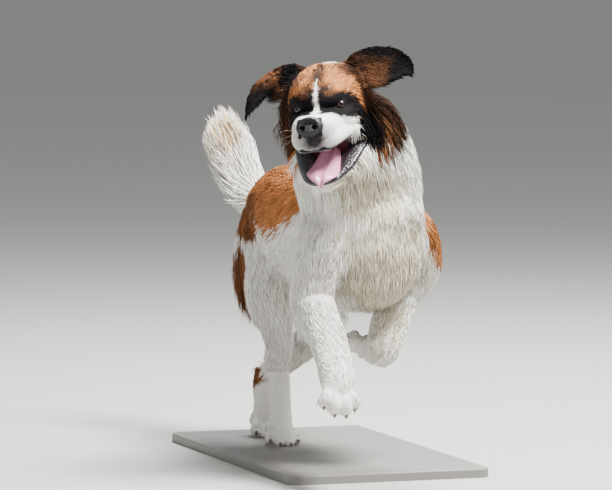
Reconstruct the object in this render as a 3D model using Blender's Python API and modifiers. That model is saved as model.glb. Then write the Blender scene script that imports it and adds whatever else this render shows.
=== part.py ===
"""A long-coated Saint Bernard in mid bound, life size, on a plain flat base.

Metres, +Z up. The dog faces -Y, so +X is its left side. The origin is the centre of the base's underside.
The flesh is lofted from a few stations for each limb, fused into one body and parted with thin cuts.
"""
import math
import random

import bmesh
import bpy
from mathutils import Matrix, Vector
from mathutils.bvhtree import BVHTree

# Driving sizes
GAP = 0.0003
BASE_LENGTH = 0.98
BASE_WIDTH = 0.52
BASE_THICKNESS = 0.022
BASE_CORNER = 0.03
BASE_EDGE = 0.003
FOOT_LEVEL = BASE_THICKNESS + GAP
EYE_RADIUS = 0.0135
EYE_HALF_SPACING = 0.052
EYE_STAND_OUT = 0.0048
NOSE_HALF_WIDTH = 0.034
HEAD_YAW = math.radians(34)
HEAD_PITCH = math.radians(-3)
HEAD_ROLL = math.radians(7)
JAW_OPEN = math.radians(21)
BODY_VOXEL = 0.0065
HEAD_VOXEL = 0.004
BODY_TRIANGLES = 1820
HEAD_TRIANGLES = 1200
JAW_TRIANGLES = 340
CUT = 0.0004

# Colours, sRGB
WHITE = "EDE6DA"
RUST = "A8622F"
DARK = "2A211E"
NOSE_BLACK = "17161A"
TONGUE_PINK = "C9808F"
EYE_BROWN = "2B1A12"
BASE_GREY = "C9C6BF"

# Stations are (x, y, z, half width, half depth), with z measured from the foot level
TORSO = [
    (0, -0.470, 0.533, 0.020, 0.025),
    (0, -0.457, 0.534, 0.055, 0.065),
    (0, -0.425, 0.530, 0.095, 0.105),
    (0, -0.370, 0.535, 0.130, 0.140),
    (0, -0.290, 0.548, 0.150, 0.168),
    (0, -0.200, 0.555, 0.158, 0.180),
    (0, -0.080, 0.553, 0.162, 0.172),
    (0, 0.050, 0.562, 0.155, 0.160),
    (0, 0.160, 0.576, 0.140, 0.146),
    (0, 0.260, 0.578, 0.122, 0.134),
    (0, 0.340, 0.563, 0.102, 0.116),
    (0, 0.395, 0.550, 0.074, 0.086),
    (0, 0.425, 0.550, 0.038, 0.048),
]
NECK = [
    (0.000, -0.200, 0.570, 0.135, 0.150),
    (0.000, -0.255, 0.635, 0.150, 0.158),
    (-0.022, -0.305, 0.700, 0.156, 0.152),
    (-0.052, -0.340, 0.765, 0.152, 0.138),
    (-0.080, -0.362, 0.825, 0.138, 0.124),
    (-0.102, -0.382, 0.880, 0.110, 0.104),
    (-0.114, -0.393, 0.918, 0.078, 0.076),
]
TAIL = [
    (0.000, 0.350, 0.582, 0.044, 0.048),
    (-0.010, 0.420, 0.586, 0.046, 0.046),
    (-0.026, 0.478, 0.606, 0.049, 0.047),
    (-0.042, 0.520, 0.645, 0.053, 0.048),
    (-0.057, 0.543, 0.690, 0.055, 0.046),
    (-0.072, 0.552, 0.735, 0.050, 0.042),
    (-0.082, 0.552, 0.772, 0.034, 0.030),
]
FORELEG_RIGHT = [
    (-0.098, -0.290, 0.620, 0.045, 0.085),
    (-0.120, -0.318, 0.560, 0.058, 0.100),
    (-0.138, -0.345, 0.500, 0.058, 0.090),
    (-0.155, -0.360, 0.450, 0.054, 0.072),
    (-0.161, -0.372, 0.412, 0.052, 0.061),
    (-0.162, -0.413, 0.374, 0.050, 0.055),
    (-0.160, -0.470, 0.330, 0.048, 0.049),
    (-0.164, -0.524, 0.290, 0.046, 0.044),
    (-0.168, -0.558, 0.262, 0.047, 0.043),
    (-0.174, -0.592, 0.230, 0.043, 0.038),
    (-0.179, -0.612, 0.206, 0.030, 0.026),
]
FORELEG_LEFT = [
    (0.100, -0.275, 0.620, 0.045, 0.085),
    (0.124, -0.282, 0.560, 0.058, 0.100),
    (0.138, -0.280, 0.505, 0.058, 0.090),
    (0.133, -0.270, 0.460, 0.055, 0.074),
    (0.107, -0.275, 0.422, 0.052, 0.060),
    (0.079, -0.300, 0.384, 0.050, 0.053),
    (0.050, -0.330, 0.342, 0.048, 0.048),
    (0.031, -0.350, 0.306, 0.046, 0.044),
    (0.021, -0.356, 0.280, 0.043, 0.041),
    (0.015, -0.346, 0.258, 0.032, 0.029),
]
THIGH_RIGHT = [
    (-0.060, 0.300, 0.600, 0.050, 0.070),
    (-0.070, 0.285, 0.540, 0.060, 0.108),
    (-0.076, 0.250, 0.475, 0.060, 0.115),
    (-0.087, 0.205, 0.410, 0.059, 0.098),
    (-0.096, 0.160, 0.360, 0.053, 0.074),
    (-0.085, 0.150, 0.312, 0.046, 0.060),
    (-0.066, 0.175, 0.262, 0.040, 0.048),
    (-0.057, 0.205, 0.218, 0.037, 0.041),
    (-0.054, 0.217, 0.190, 0.033, 0.036),
    (-0.053, 0.214, 0.160, 0.024, 0.026),
]
SHANK_RIGHT = [
    (-0.054, 0.224, 0.208, 0.029, 0.032),
    (-0.053, 0.214, 0.160, 0.032, 0.032),
    (-0.056, 0.193, 0.102, 0.032, 0.029),
    (-0.064, 0.165, 0.050, 0.035, 0.028),
]
THIGH_LEFT = [
    (0.060, 0.300, 0.600, 0.050, 0.070),
    (0.076, 0.290, 0.540, 0.060, 0.108),
    (0.086, 0.262, 0.470, 0.062, 0.112),
    (0.092, 0.225, 0.400, 0.058, 0.094),
    (0.083, 0.195, 0.345, 0.052, 0.070),
    (0.062, 0.212, 0.292, 0.044, 0.056),
    (0.028, 0.272, 0.234, 0.038, 0.045),
    (-0.006, 0.342, 0.183, 0.033, 0.037),
    (-0.028, 0.386, 0.155, 0.029, 0.032),
    (-0.036, 0.391, 0.130, 0.021, 0.023),
]
SHANK_LEFT = [
    (-0.030, 0.397, 0.170, 0.025, 0.028),
    (-0.037, 0.391, 0.128, 0.028, 0.030),
    (-0.042, 0.370, 0.085, 0.029, 0.027),
    (-0.047, 0.346, 0.048, 0.034, 0.027),
]

# Paws: where the pastern ends, which way the toes point, which way the back of the paw faces, size
PAWS = {
    "foreleg_right": ((-0.178, -0.590, 0.232), (-0.08, -0.60, -0.78), (0.05, -0.79, 0.61), 1.04),
    "foreleg_left": ((0.008, -0.322, 0.284), (-0.10, 0.99, -0.02), (-0.60, -0.10, -0.79), 1.10),
    "hindleg_right": ((-0.066, 0.168, 0.040), (-0.10, -0.94, -0.38), (0, -0.38, 0.94), 0.98),
    "hindleg_left": ((-0.048, 0.350, 0.040), (-0.04, -0.94, -0.38), (0, -0.38, 0.94), 0.96),
}
# Toes in the paw's own frame: sideways, start, reach, radius
TOES = [(-0.033, 0.022, 0.064, 0.0155), (-0.0125, 0.026, 0.083, 0.0165),
        (0.0125, 0.026, 0.083, 0.0165), (0.033, 0.022, 0.064, 0.0155)]

# The head's own frame: origin midway between the eyes, -Y forward, +X its left
EYES_MIDPOINT = (-0.170, -0.457, 0.890)
MUZZLE = [
    (0, -0.136, -0.060, 0.028, 0.024),
    (0, -0.128, -0.060, 0.043, 0.035),
    (0, -0.104, -0.057, 0.054, 0.038),
    (0, -0.070, -0.051, 0.060, 0.036),
    (0, -0.040, -0.043, 0.067, 0.037),
    (0, -0.005, -0.036, 0.075, 0.040),
    (0, 0.040, -0.034, 0.080, 0.042),
]
SKULL = [
    (0, -0.030, -0.010, 0.030, 0.020),
    (0, -0.020, 0.006, 0.060, 0.042),
    (0, 0.004, 0.015, 0.081, 0.066),
    (0, 0.042, 0.018, 0.096, 0.087),
    (0, 0.085, 0.013, 0.100, 0.092),
    (0, 0.125, 0.002, 0.092, 0.084),
    (0, 0.160, -0.012, 0.070, 0.064),
    (0, 0.178, -0.018, 0.038, 0.038),
]
FLEW = [
    (0.000, -0.123, -0.086, 0.016, 0.022),
    (0.028, -0.116, -0.086, 0.014, 0.022),
    (0.046, -0.090, -0.079, 0.013, 0.021),
    (0.057, -0.055, -0.070, 0.012, 0.019),
    (0.067, -0.015, -0.061, 0.012, 0.016),
    (0.075, 0.025, -0.056, 0.012, 0.013),
    (0.082, 0.060, -0.058, 0.012, 0.012),
    (0.085, 0.086, -0.066, 0.011, 0.012),
]
JAW = [
    (0, -0.112, -0.128, 0.020, 0.010),
    (0, -0.102, -0.131, 0.034, 0.015),
    (0, -0.075, -0.134, 0.042, 0.019),
    (0, -0.035, -0.132, 0.049, 0.023),
    (0, 0.005, -0.125, 0.056, 0.029),
    (0, 0.045, -0.110, 0.060, 0.036),
    (0, 0.085, -0.085, 0.056, 0.038),
]
JAW_HINGE = (0, 0.085, -0.055)
LOWER_LIP = [
    (0.000, -0.112, -0.119, 0.008, 0.007),
    (0.020, -0.107, -0.118, 0.010, 0.008),
    (0.034, -0.085, -0.117, 0.013, 0.009),
    (0.044, -0.045, -0.113, 0.018, 0.010),
    (0.055, -0.005, -0.102, 0.021, 0.011),
    (0.069, 0.036, -0.089, 0.018, 0.011),
    (0.081, 0.072, -0.080, 0.011, 0.010),
]
TONGUE = [
    (0.006, 0.045, -0.098, 0.020, 0.010),
    (0.006, 0.012, -0.116, 0.026, 0.011),
    (0.007, -0.028, -0.137, 0.032, 0.010),
    (0.008, -0.062, -0.151, 0.037, 0.008),
    (0.008, -0.090, -0.160, 0.038, 0.0065),
    (0.008, -0.107, -0.168, 0.031, 0.0055),
    (0.007, -0.117, -0.179, 0.019, 0.0045),
    (0.006, -0.119, -0.188, 0.006, 0.003),
]
EAR_RIGHT = [
    (-0.055, 0.082, 0.064, 0.044, 0.012),
    (-0.092, 0.080, 0.080, 0.046, 0.010),
    (-0.128, 0.075, 0.077, 0.038, 0.008),
    (-0.162, 0.068, 0.063, 0.031, 0.007),
    (-0.184, 0.060, 0.038, 0.024, 0.006),
    (-0.198, 0.054, 0.014, 0.014, 0.005),
    (-0.206, 0.050, -0.005, 0.005, 0.003),
]
EAR_LEFT = [
    (0.055, 0.084, 0.064, 0.052, 0.012),
    (0.085, 0.083, 0.076, 0.060, 0.010),
    (0.115, 0.080, 0.081, 0.062, 0.008),
    (0.147, 0.076, 0.081, 0.059, 0.007),
    (0.175, 0.069, 0.079, 0.050, 0.006),
    (0.197, 0.060, 0.073, 0.037, 0.005),
    (0.211, 0.053, 0.064, 0.021, 0.0045),
    (0.217, 0.050, 0.054, 0.007, 0.003),
]


def clear_scene():
    for obj in list(bpy.data.objects):
        bpy.data.objects.remove(obj)


def new_collection(name, hidden=False):
    made = bpy.data.collections.new(name)
    bpy.context.scene.collection.children.link(made)
    made.hide_render = hidden
    return made


def material(name, hex_colour, roughness, metallic=0.0):
    channels = [int(hex_colour[i:i + 2], 16) / 255 for i in (0, 2, 4)]
    linear = [c / 12.92 if c <= 0.04045 else ((c + 0.055) / 1.055) ** 2.4 for c in channels]
    made = bpy.data.materials.new(name)
    made.use_nodes = True
    shader = made.node_tree.nodes["Principled BSDF"]
    shader.inputs["Base Color"].default_value = (*linear, 1)
    shader.inputs["Roughness"].default_value = roughness
    shader.inputs["Metallic"].default_value = metallic
    return made


def add_object(name, bm, collection):
    bmesh.ops.recalc_face_normals(bm, faces=bm.faces)
    mesh = bpy.data.meshes.new(name)
    bm.to_mesh(mesh)
    bm.free()
    obj = bpy.data.objects.new(name, mesh)
    collection.objects.link(obj)
    return obj


def on_ground(stations):
    """Stations lifted from the foot level to the base's top."""
    return [(x, y, z + FOOT_LEVEL, w, d) for x, y, z, w, d in stations]


def mirrored(stations):
    return [(-x, y, z, w, d) for x, y, z, w, d in stations]


def smooth_stations(stations, steps):
    """Catmull-Rom through the stations, so that a few of them give a round limb."""
    points = [Vector(s) for s in stations]
    ends = [points[0] * 2 - points[1], *points, points[-1] * 2 - points[-2]]
    made = []
    for i in range(1, len(ends) - 2):
        a, b, c, d = ends[i - 1:i + 3]
        for k in range(steps):
            t = k / steps
            made.append(0.5 * (2 * b + (c - a) * t + (2 * a - 5 * b + 4 * c - d) * t ** 2
                               + (3 * b - a - 3 * c + d) * t ** 3))
    return made + [points[-1]]


def loft(bm, stations, side=(1, 0, 0), sides=16, steps=3, power=2.0, cup=0.0, narrow=0.0):
    """Rings about a bent line. side is the width's direction; power over 2 is boxier, cup bends a flat section
    into a trough, and narrow makes the lower half of a section slimmer than the upper."""
    rows = smooth_stations(stations, steps)
    centres = [Vector(r[:3]) for r in rows]
    rings = []
    for i, row in enumerate(rows):
        along = (centres[min(i + 1, len(rows) - 1)] - centres[max(i - 1, 0)]).normalized()
        across = (Vector(side) - along * along.dot(Vector(side))).normalized()
        depth = along.cross(across)
        ring = []
        for k in range(sides):
            turn = 2 * math.pi * k / sides
            c, s = math.cos(turn), math.sin(turn)
            c = math.copysign(abs(c) ** (2 / power), c)
            s = math.copysign(abs(s) ** (2 / power), s)
            width = row[3] * (1 - narrow * max(0, math.copysign(1, narrow) * s) * abs(s))
            ring.append(bm.verts.new(centres[i] + across * width * c + depth * (row[4] * s + cup * row[3] * c * c)))
        rings.append(ring)
    for low, high in zip(rings, rings[1:]):
        for k in range(sides):
            bm.faces.new((low[k], low[(k + 1) % sides], high[(k + 1) % sides], high[k]))
    bm.faces.new(reversed(rings[0]))
    bm.faces.new(rings[-1])


def ball(bm, centre, radii, turn=None):
    """An ellipsoid."""
    place = Matrix.Translation(Vector(centre)) @ (turn or Matrix.Identity(4)) @ Matrix.Diagonal((*radii, 1))
    bmesh.ops.create_uvsphere(bm, u_segments=20, v_segments=12, radius=1, matrix=place)


def add_to(bm, other, matrix):
    """Moves the other shape by the matrix and adds it to the first."""
    other.transform(matrix)
    mesh = bpy.data.meshes.new("Added")
    other.to_mesh(mesh)
    other.free()
    bm.from_mesh(mesh)
    bpy.data.meshes.remove(mesh)


def paw_frame(place, forward, back):
    """The matrix of a paw: +Y along the toes, +Z out of the back of the paw."""
    y = Vector(forward).normalized()
    x = y.cross(Vector(back)).normalized()
    z = x.cross(y)
    origin = Vector(place) + Vector((0, 0, FOOT_LEVEL))
    return Matrix.Translation(origin) @ Matrix((x, y, z)).transposed().to_4x4()


def paw(bm, place, forward, back, scale):
    """A paw: its broad back, four arched toes and the pads under them."""
    made = bmesh.new()
    loft(made, [(0, -0.020, 0.000, 0.036, 0.030), (0, 0.015, 0.000, 0.038, 0.027), (0, 0.050, -0.004, 0.036, 0.019)])
    for sideways, begin, reach, radius in TOES:
        spread = sideways * 1.12
        loft(made, [
            (sideways * 0.8, begin, -0.002, radius * 0.9, radius),
            (sideways, (begin + reach) / 2, 0.002, radius, radius * 1.15),
            (spread, reach - radius * 0.8, -0.004, radius * 1.02, radius * 1.05),
            (spread, reach, -0.008, radius * 0.55, radius * 0.6),
        ], sides=12)
    ball(made, (0, 0.026, -0.020), (0.026, 0.020, 0.010))
    add_to(bm, made, paw_frame(place, forward, back) @ Matrix.Diagonal((scale, scale, scale, 1)))


def fuse(name, bm, collection, voxel, rounds, triangles):
    """Overlapping closed shapes made one smooth skin of about so many triangles."""
    obj = add_object(name, bm, collection)
    remesh = obj.modifiers.new("Fuse", "REMESH")
    remesh.mode = "VOXEL"
    remesh.voxel_size = voxel
    soften = obj.modifiers.new("Soften", "SMOOTH")
    soften.factor = 0.5
    soften.iterations = rounds
    obj = applied(obj)
    obj.data.calc_loop_triangles()
    thin = obj.modifiers.new("Thin", "DECIMATE")
    thin.ratio = triangles / len(obj.data.loop_triangles)
    return applied(obj)


def applied(obj):
    """Gives the object its evaluated mesh and takes its modifiers away."""
    graph = bpy.context.evaluated_depsgraph_get()
    mesh = bpy.data.meshes.new_from_object(obj.evaluated_get(graph))
    obj.modifiers.clear()
    obj.data = mesh
    return obj


def boolean(obj, other, operation, solver="MANIFOLD"):
    """Applies one Boolean with an object, or with a collection of them, and leaves the other as it is."""
    step = obj.modifiers.new("Join", "BOOLEAN")
    step.operation = operation
    step.solver = solver
    if isinstance(other, bpy.types.Collection):
        step.operand_type = "COLLECTION"
        step.collection = other
    else:
        step.object = other
    bpy.context.view_layer.update()
    return applied(obj)


def closed_surfaces(bm):
    """The faces of each closed surface, the largest surface first."""
    bm.faces.index_update()
    surfaces, seen = [], set()
    for face in bm.faces:
        if face in seen:
            continue
        surface, queue = [], [face]
        seen.add(face)
        while queue:
            one = queue.pop()
            surface.append(one)
            for edge in one.edges:
                for near in edge.link_faces:
                    if near not in seen:
                        seen.add(near)
                        queue.append(near)
        surfaces.append(surface)
    return sorted(surfaces, key=lambda faces: -sum(f.calc_area() for f in faces))


def largest_shell(obj):
    """Keeps only the object's largest closed surface, in triangles."""
    bm = bmesh.new()
    bm.from_mesh(obj.data)
    extra = [face for surface in closed_surfaces(bm)[1:] for face in surface]
    bmesh.ops.delete(bm, geom=extra, context="FACES")
    bmesh.ops.triangulate(bm, faces=bm.faces)
    bm.to_mesh(obj.data)
    bm.free()
    return obj


def slab(name, centre, across, along, width, length, collection, frame=None):
    """A thin box that parts one piece from the next. across and along are the directions of its two sides."""
    x = Vector(across).normalized()
    z = x.cross(Vector(along)).normalized()
    turn = Matrix((x, z.cross(x), z)).transposed().to_4x4()
    place = Matrix.Translation(Vector(centre)) @ turn @ Matrix.Diagonal((width, length, CUT, 1))
    bm = bmesh.new()
    bmesh.ops.create_cube(bm, size=1, matrix=(frame or Matrix.Translation((0, 0, FOOT_LEVEL))) @ place)
    return add_object(name, bm, collection)


def head_matrix():
    """From the head's own frame to the dog's."""
    turn = (Matrix.Rotation(-HEAD_YAW, 4, "Z") @ Matrix.Rotation(HEAD_PITCH, 4, "X")
            @ Matrix.Rotation(-HEAD_ROLL, 4, "Y"))
    return Matrix.Translation(Vector(EYES_MIDPOINT) + Vector((0, 0, FOOT_LEVEL))) @ turn


# Locks of long hair: length, half width, half thickness in metres
RUFF_LOCK = (0.100, 0.020, 0.0060)
BIB_LOCK = (0.100, 0.019, 0.0060)
BELLY_LOCK = (0.080, 0.018, 0.0055)
BREECH_LOCK = (0.090, 0.016, 0.0060)
TAIL_LOCK = (0.095, 0.016, 0.0055)
FEATHER_LOCK = (0.050, 0.011, 0.0045)
CHEEK_LOCK = (0.066, 0.016, 0.0055)
SINK = 0.006


def lock(bm, root, out, lie, size, lift, draw):
    """A flat tapered lock that leaves the skin at lift and bends back to the lie of the coat."""
    length, half_width, half_thickness = size
    length *= draw.uniform(0.85, 1.15)
    lie = (lie - out * lie.dot(out)).normalized()
    side = lie.cross(out)
    lie = (lie + side * draw.uniform(-0.22, 0.22)).normalized()
    point = root - out * SINK - lie * 0.004
    rows = [(*point, half_width * 0.75, half_thickness)]
    for share, rise, width, thickness in ((0.36, lift + 0.18, 1.0, 0.9), (0.36, lift, 0.78, 0.65),
                                          (0.28, lift - 0.30, 0.10, 0.30)):
        point = point + (lie * math.cos(rise) + out * math.sin(rise)) * (length * share)
        rows.append((*point, half_width * width, half_thickness * thickness))
    loft(bm, rows, side=side, sides=4, steps=1)


def skin_finder(obj):
    return BVHTree.FromObject(obj, bpy.context.evaluated_depsgraph_get())


def grow_lock(bms, finder, inside, direction, flow, size, lift, draw):
    """Roots one lock where a ray from inside the limb leaves the skin."""
    root, out, _, _ = finder.ray_cast(Vector(inside), Vector(direction).normalized())
    if root is None:
        return
    if out.dot(Vector(direction)) < 0:
        out = -out
    bm = bmesh.new()
    lock(bm, root, out, Vector(flow), size, lift, draw)
    bms.append(bm)


def at(chain, share):
    """The point and direction of a limb's line at a share of its length."""
    points = [Vector(r[:3]) for r in smooth_stations(on_ground(chain), 4)]
    place = share * (len(points) - 1)
    i = min(int(place), len(points) - 2)
    along = (points[i + 1] - points[i]).normalized()
    return points[i].lerp(points[i + 1], place - i), along


def coat_round(bms, finder, chain, shares, turns, flow, size, lift, draw):
    """Rows of locks round a limb: one row for each share of its line, one lock for each turn round it."""
    for row, share in enumerate(shares):
        centre, along = at(chain, share)
        across = (Vector((1, 0, 0)) - along * along.x).normalized()
        back = along.cross(across)
        for turn in turns:
            angle = math.radians(turn + (row % 2) * (turns[1] - turns[0]) / 2) + draw.uniform(-0.08, 0.08)
            ray = across * math.cos(angle) + back * math.sin(angle)
            grow_lock(bms, finder, centre, ray, flow(along, ray), size, lift, draw)


def body_locks(finder):
    """All the long hair on the neck, forechest, belly, breeches, tail and the backs of the legs."""
    draw = random.Random(7)
    bms = []
    coat_round(bms, finder, NECK, [0.32, 0.52, 0.72], range(0, 360, 45),
               lambda along, ray: -along + Vector((0, 0, -0.6)), RUFF_LOCK, 0.16, draw)
    for row, height in enumerate((0.62, 0.22, -0.12)):
        for turn in range(-60, 61, 30):
            angle = math.radians(turn + (15 if row % 2 else 0))
            ray = Vector((math.sin(angle), -math.cos(angle), height))
            grow_lock(bms, finder, (0, -0.33, 0.52 + FOOT_LEVEL), ray, (0, 0.1, -1), BIB_LOCK, 0.16, draw)
    coat_round(bms, finder, TORSO, [0.44, 0.56, 0.68], (70, 110),
               lambda along, ray: along + Vector((0, 0, -0.5)), BELLY_LOCK, 0.2, draw)
    for chain in (THIGH_RIGHT, THIGH_LEFT):
        for row, share in enumerate((0.10, 0.24, 0.38, 0.52)):
            centre, _ = at(chain, share)
            for sideways in ((-0.45, 0.45) if row % 2 else (-0.1, 0.1, 0.9)[::2]):
                ray = Vector((sideways, 1, 0))
                grow_lock(bms, finder, centre, ray, (0, 0.2, -1), BREECH_LOCK, 0.28, draw)
    coat_round(bms, finder, TAIL, [0.24, 0.46, 0.68, 0.90], range(0, 360, 72),
               lambda along, ray: along, TAIL_LOCK, 0.22, draw)
    for chain in (FORELEG_RIGHT, FORELEG_LEFT):
        for share in (0.42, 0.54, 0.66, 0.78):
            centre, along = at(chain, share)
            behind = along.cross(Vector((1, 0, 0)))
            behind = behind if behind.y > 0 else -behind
            grow_lock(bms, finder, centre, behind, along + Vector((0, 0.2, 0)), FEATHER_LOCK, 0.3, draw)
    return bms


def head_locks(finder, frame):
    """The longer hair of the cheeks and behind the ears."""
    draw = random.Random(12)
    turn = frame.to_3x3()
    bms = []
    for side in (-1, 1):
        for back, up in ((0.9, -0.1), (0.6, -0.5), (0.25, -0.8), (0.5, 0.0), (0.95, 0.3), (0.75, -0.75)):
            inside = frame @ Vector((side * 0.045, 0.075, -0.025))
            ray = turn @ Vector((side, back, up))
            flow = turn @ Vector((side * 0.25, 0.6, -0.8))
            grow_lock(bms, finder, inside, ray, flow, CHEEK_LOCK, 0.35, draw)
    return bms


def body_flesh(collection):
    bm = bmesh.new()
    loft(bm, on_ground(TORSO), sides=24, power=2.15, narrow=0.12)
    loft(bm, on_ground(NECK), sides=24)
    loft(bm, on_ground(TAIL), sides=12)
    for chain in (FORELEG_RIGHT, FORELEG_LEFT, THIGH_RIGHT, THIGH_LEFT, SHANK_RIGHT, SHANK_LEFT):
        loft(bm, on_ground(chain), sides=16)
    for place, forward, back, scale in PAWS.values():
        paw(bm, place, forward, back, scale)
    ball(bm, (0, -0.345, 0.615 + FOOT_LEVEL), (0.136, 0.125, 0.110))
    return fuse("body", bm, collection, BODY_VOXEL, 10, BODY_TRIANGLES)


def head_flesh(collection, frame):
    bm = bmesh.new()
    loft(bm, MUZZLE, sides=24, power=2.6)
    loft(bm, SKULL, sides=24, power=2.2)
    ball(bm, (0, 0.108, -0.055), (0.072, 0.070, 0.070))
    ball(bm, (0, -0.018, -0.012), (0.031, 0.035, 0.025))
    for side in (-1, 1):
        ball(bm, (side * 0.062, 0.092, -0.036), (0.042, 0.062, 0.060))
        ball(bm, (side * 0.040, -0.008, 0.024), (0.029, 0.019, 0.014), Matrix.Rotation(side * 0.3, 4, "Y"))
        ball(bm, (side * 0.052, 0.022, -0.020), (0.038, 0.038, 0.036))
        ball(bm, (side * 0.054, 0.000, -0.036), (0.031, 0.051, 0.029))
        loft(bm, FLEW if side > 0 else mirrored(FLEW), sides=12)
    bm.transform(frame)
    return fuse("head", bm, collection, HEAD_VOXEL, 9, HEAD_TRIANGLES)


def jaw_turn():
    hinge = Matrix.Translation(JAW_HINGE)
    return hinge @ Matrix.Rotation(JAW_OPEN, 4, "X") @ hinge.inverted()


def jaw_flesh(collection, frame):
    bm = bmesh.new()
    loft(bm, JAW, sides=24, power=2.3)
    for side in (-1, 1):
        loft(bm, LOWER_LIP if side > 0 else mirrored(LOWER_LIP), sides=12)
    bm.transform(frame @ jaw_turn())
    return fuse("lower_jaw", bm, collection, 0.003, 3, JAW_TRIANGLES)


def grown(obj, by, collection):
    """A copy of the object, larger all round, to cut its seat with."""
    copy = obj.copy()
    copy.data = obj.data.copy()
    copy.name = obj.name + "_seat"
    for other in list(copy.users_collection):
        other.objects.unlink(copy)
    collection.objects.link(copy)
    swell = copy.modifiers.new("Swell", "DISPLACE")
    swell.strength = by
    swell.mid_level = 0
    bpy.context.view_layer.update()
    return applied(copy)


def seat(piece, wholes, cutters):
    """Cuts a seat for the piece into each of the wholes, with the same thin gap all round."""
    largest_shell(piece)
    cutter = grown(piece, GAP, cutters)
    for whole in wholes:
        boolean(whole, cutter, "DIFFERENCE")
        boolean(whole, piece, "DIFFERENCE")
        largest_shell(whole)


def eye_place(finder, frame, side):
    """Where an eyeball's centre lies: just under the skin, so that its front stands out between the lids."""
    start = frame @ Vector((side * EYE_HALF_SPACING, -0.10, 0))
    hit, _, _, _ = finder.ray_cast(start, frame.to_3x3() @ Vector((0, 1, 0)))
    facing = frame.to_3x3() @ Vector((side * 0.25, -0.96, 0.05)).normalized()
    return hit - facing * (EYE_RADIUS - EYE_STAND_OUT), facing


def lid(bm, centre, facing, up, side, lift, thick):
    """A soft rim over or under the eye, from one corner to the other."""
    across = up.cross(facing).normalized() * side
    upward = facing.cross(across).normalized() * (1 if facing.cross(across).dot(up) > 0 else -1)
    rows = []
    for k in range(-3, 4):
        turn = math.radians(k * 22)
        tip = math.radians(lift * math.cos(turn * 1.25))
        out = (facing * math.cos(turn) + across * math.sin(turn)) * math.cos(tip) + upward * math.sin(tip)
        rows.append((*(centre + out * (EYE_RADIUS + 0.0002)), thick * (0.6 + 0.4 * math.cos(turn)), thick * 0.8))
    loft(bm, rows, side=facing, sides=6, steps=1)


def nose_pad(collection, frame):
    bm = bmesh.new()
    loft(bm, [
        (0, -0.146, -0.050, 0.010, 0.008),
        (0, -0.144, -0.051, 0.025, 0.020),
        (0, -0.136, -0.051, 0.0325, 0.026),
        (0, -0.125, -0.051, NOSE_HALF_WIDTH, 0.027),
        (0, -0.112, -0.050, 0.029, 0.023),
        (0, -0.098, -0.052, 0.020, 0.016),
    ], sides=16, steps=1, power=2.2, narrow=0.35)
    bm.transform(frame)
    pad = add_object("nose", bm, collection)
    cut = bmesh.new()
    for side in (-1, 1):
        loft(cut, [
            (side * 0.0150, -0.155, -0.051, 0.0074, 0.0066),
            (side * 0.0150, -0.141, -0.051, 0.0070, 0.0060),
            (side * 0.0140, -0.130, -0.049, 0.0036, 0.0030),
        ], sides=10)
        loft(cut, [
            (side * 0.018, -0.151, -0.055, 0.0030, 0.0024),
            (side * 0.026, -0.144, -0.060, 0.0030, 0.0022),
            (side * 0.033, -0.132, -0.063, 0.0028, 0.0018),
        ], side=(0, 1, 0), sides=8)
    loft(cut, [(0, -0.140, -0.084, 0.0010, 0.004), (0, -0.144, -0.070, 0.0010, 0.004),
               (0, -0.147, -0.056, 0.0007, 0.003)], sides=6)
    cut.transform(frame)
    return pad, add_object("Nostrils", cut, collection)


def soft_loft(name, stations, frame, collection, **shape):
    bm = bmesh.new()
    loft(bm, stations, **shape)
    bm.transform(frame)
    return add_object(name, bm, collection)


def claws():
    """The claws of each paw, pointed and bent over the toes' ends."""
    bms = []
    for place, forward, back, scale in PAWS.values():
        frame = paw_frame(place, forward, back) @ Matrix.Diagonal((scale, scale, scale, 1))
        for sideways, _, reach, radius in TOES:
            bm = bmesh.new()
            loft(bm, [
                (sideways * 1.12, reach - 0.013, -0.001, 0.0044, 0.0048),
                (sideways * 1.13, reach - 0.001, -0.004, 0.0040, 0.0042),
                (sideways * 1.14, reach + 0.0035, -0.0105, 0.0014, 0.0016),
            ], sides=6, steps=2)
            bm.transform(frame)
            bms.append(bm)
    return bms


def join_all(whole, bms, name):
    """Fuses the small closed shapes into the whole with one Boolean."""
    group = new_collection(name, hidden=True)
    for i, bm in enumerate(bms):
        add_object(f"{name}{i:03d}", bm, group)
    boolean(whole, group, "UNION")
    for obj in list(group.objects):
        bpy.data.objects.remove(obj)
    return largest_shell(whole)


def part_off(whole, cutters):
    """Parts the body into neck, torso, tail and legs by thin cuts, and names each piece by where it lies."""
    body_turn = Matrix.Translation((0, 0, FOOT_LEVEL))
    slab("CutNeck", (-0.01, -0.300, 0.665), (1, 0, 0), (0, -0.9, -0.43), 0.46, 0.54, cutters, body_turn)
    slab("CutTail", (-0.024, 0.438, 0.590), (1, 0.27, 0), (0.05, -0.3, 0.95), 0.22, 0.26, cutters, body_turn)
    slab("CutForeRight", (-0.155, -0.335, 0.446), (0, 1, 0), (-0.16, 0, 0.115), 0.36, 0.21, cutters, body_turn)
    slab("CutForeLeft", (0.115, -0.300, 0.4225), (0, 1, 0), (0.25, 0, 0.155), 0.40, 0.295, cutters, body_turn)
    for side in (-1, 1):
        slab(f"CutHind{side}", (side * 0.090, 0.285, 0.462), (0, 1, 0.25), (side * 0.21, 0, 0.150),
             0.44, 0.26, cutters, body_turn)
    for obj in [o for o in cutters.objects if o.name.startswith("Cut")]:
        boolean(whole, obj, "DIFFERENCE")
    return shells_of(whole)


def shells_of(obj):
    """The closed surfaces of an object as separate meshes, the largest first."""
    bm = bmesh.new()
    bm.from_mesh(obj.data)
    shells = closed_surfaces(bm)
    made = []
    for shell in shells[:len(PLACES)]:
        piece = bm.copy()
        kept = {face.index for face in shell}
        bmesh.ops.delete(piece, geom=[f for f in piece.faces if f.index not in kept], context="FACES")
        made.append(piece)
    bm.free()
    return made


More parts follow.
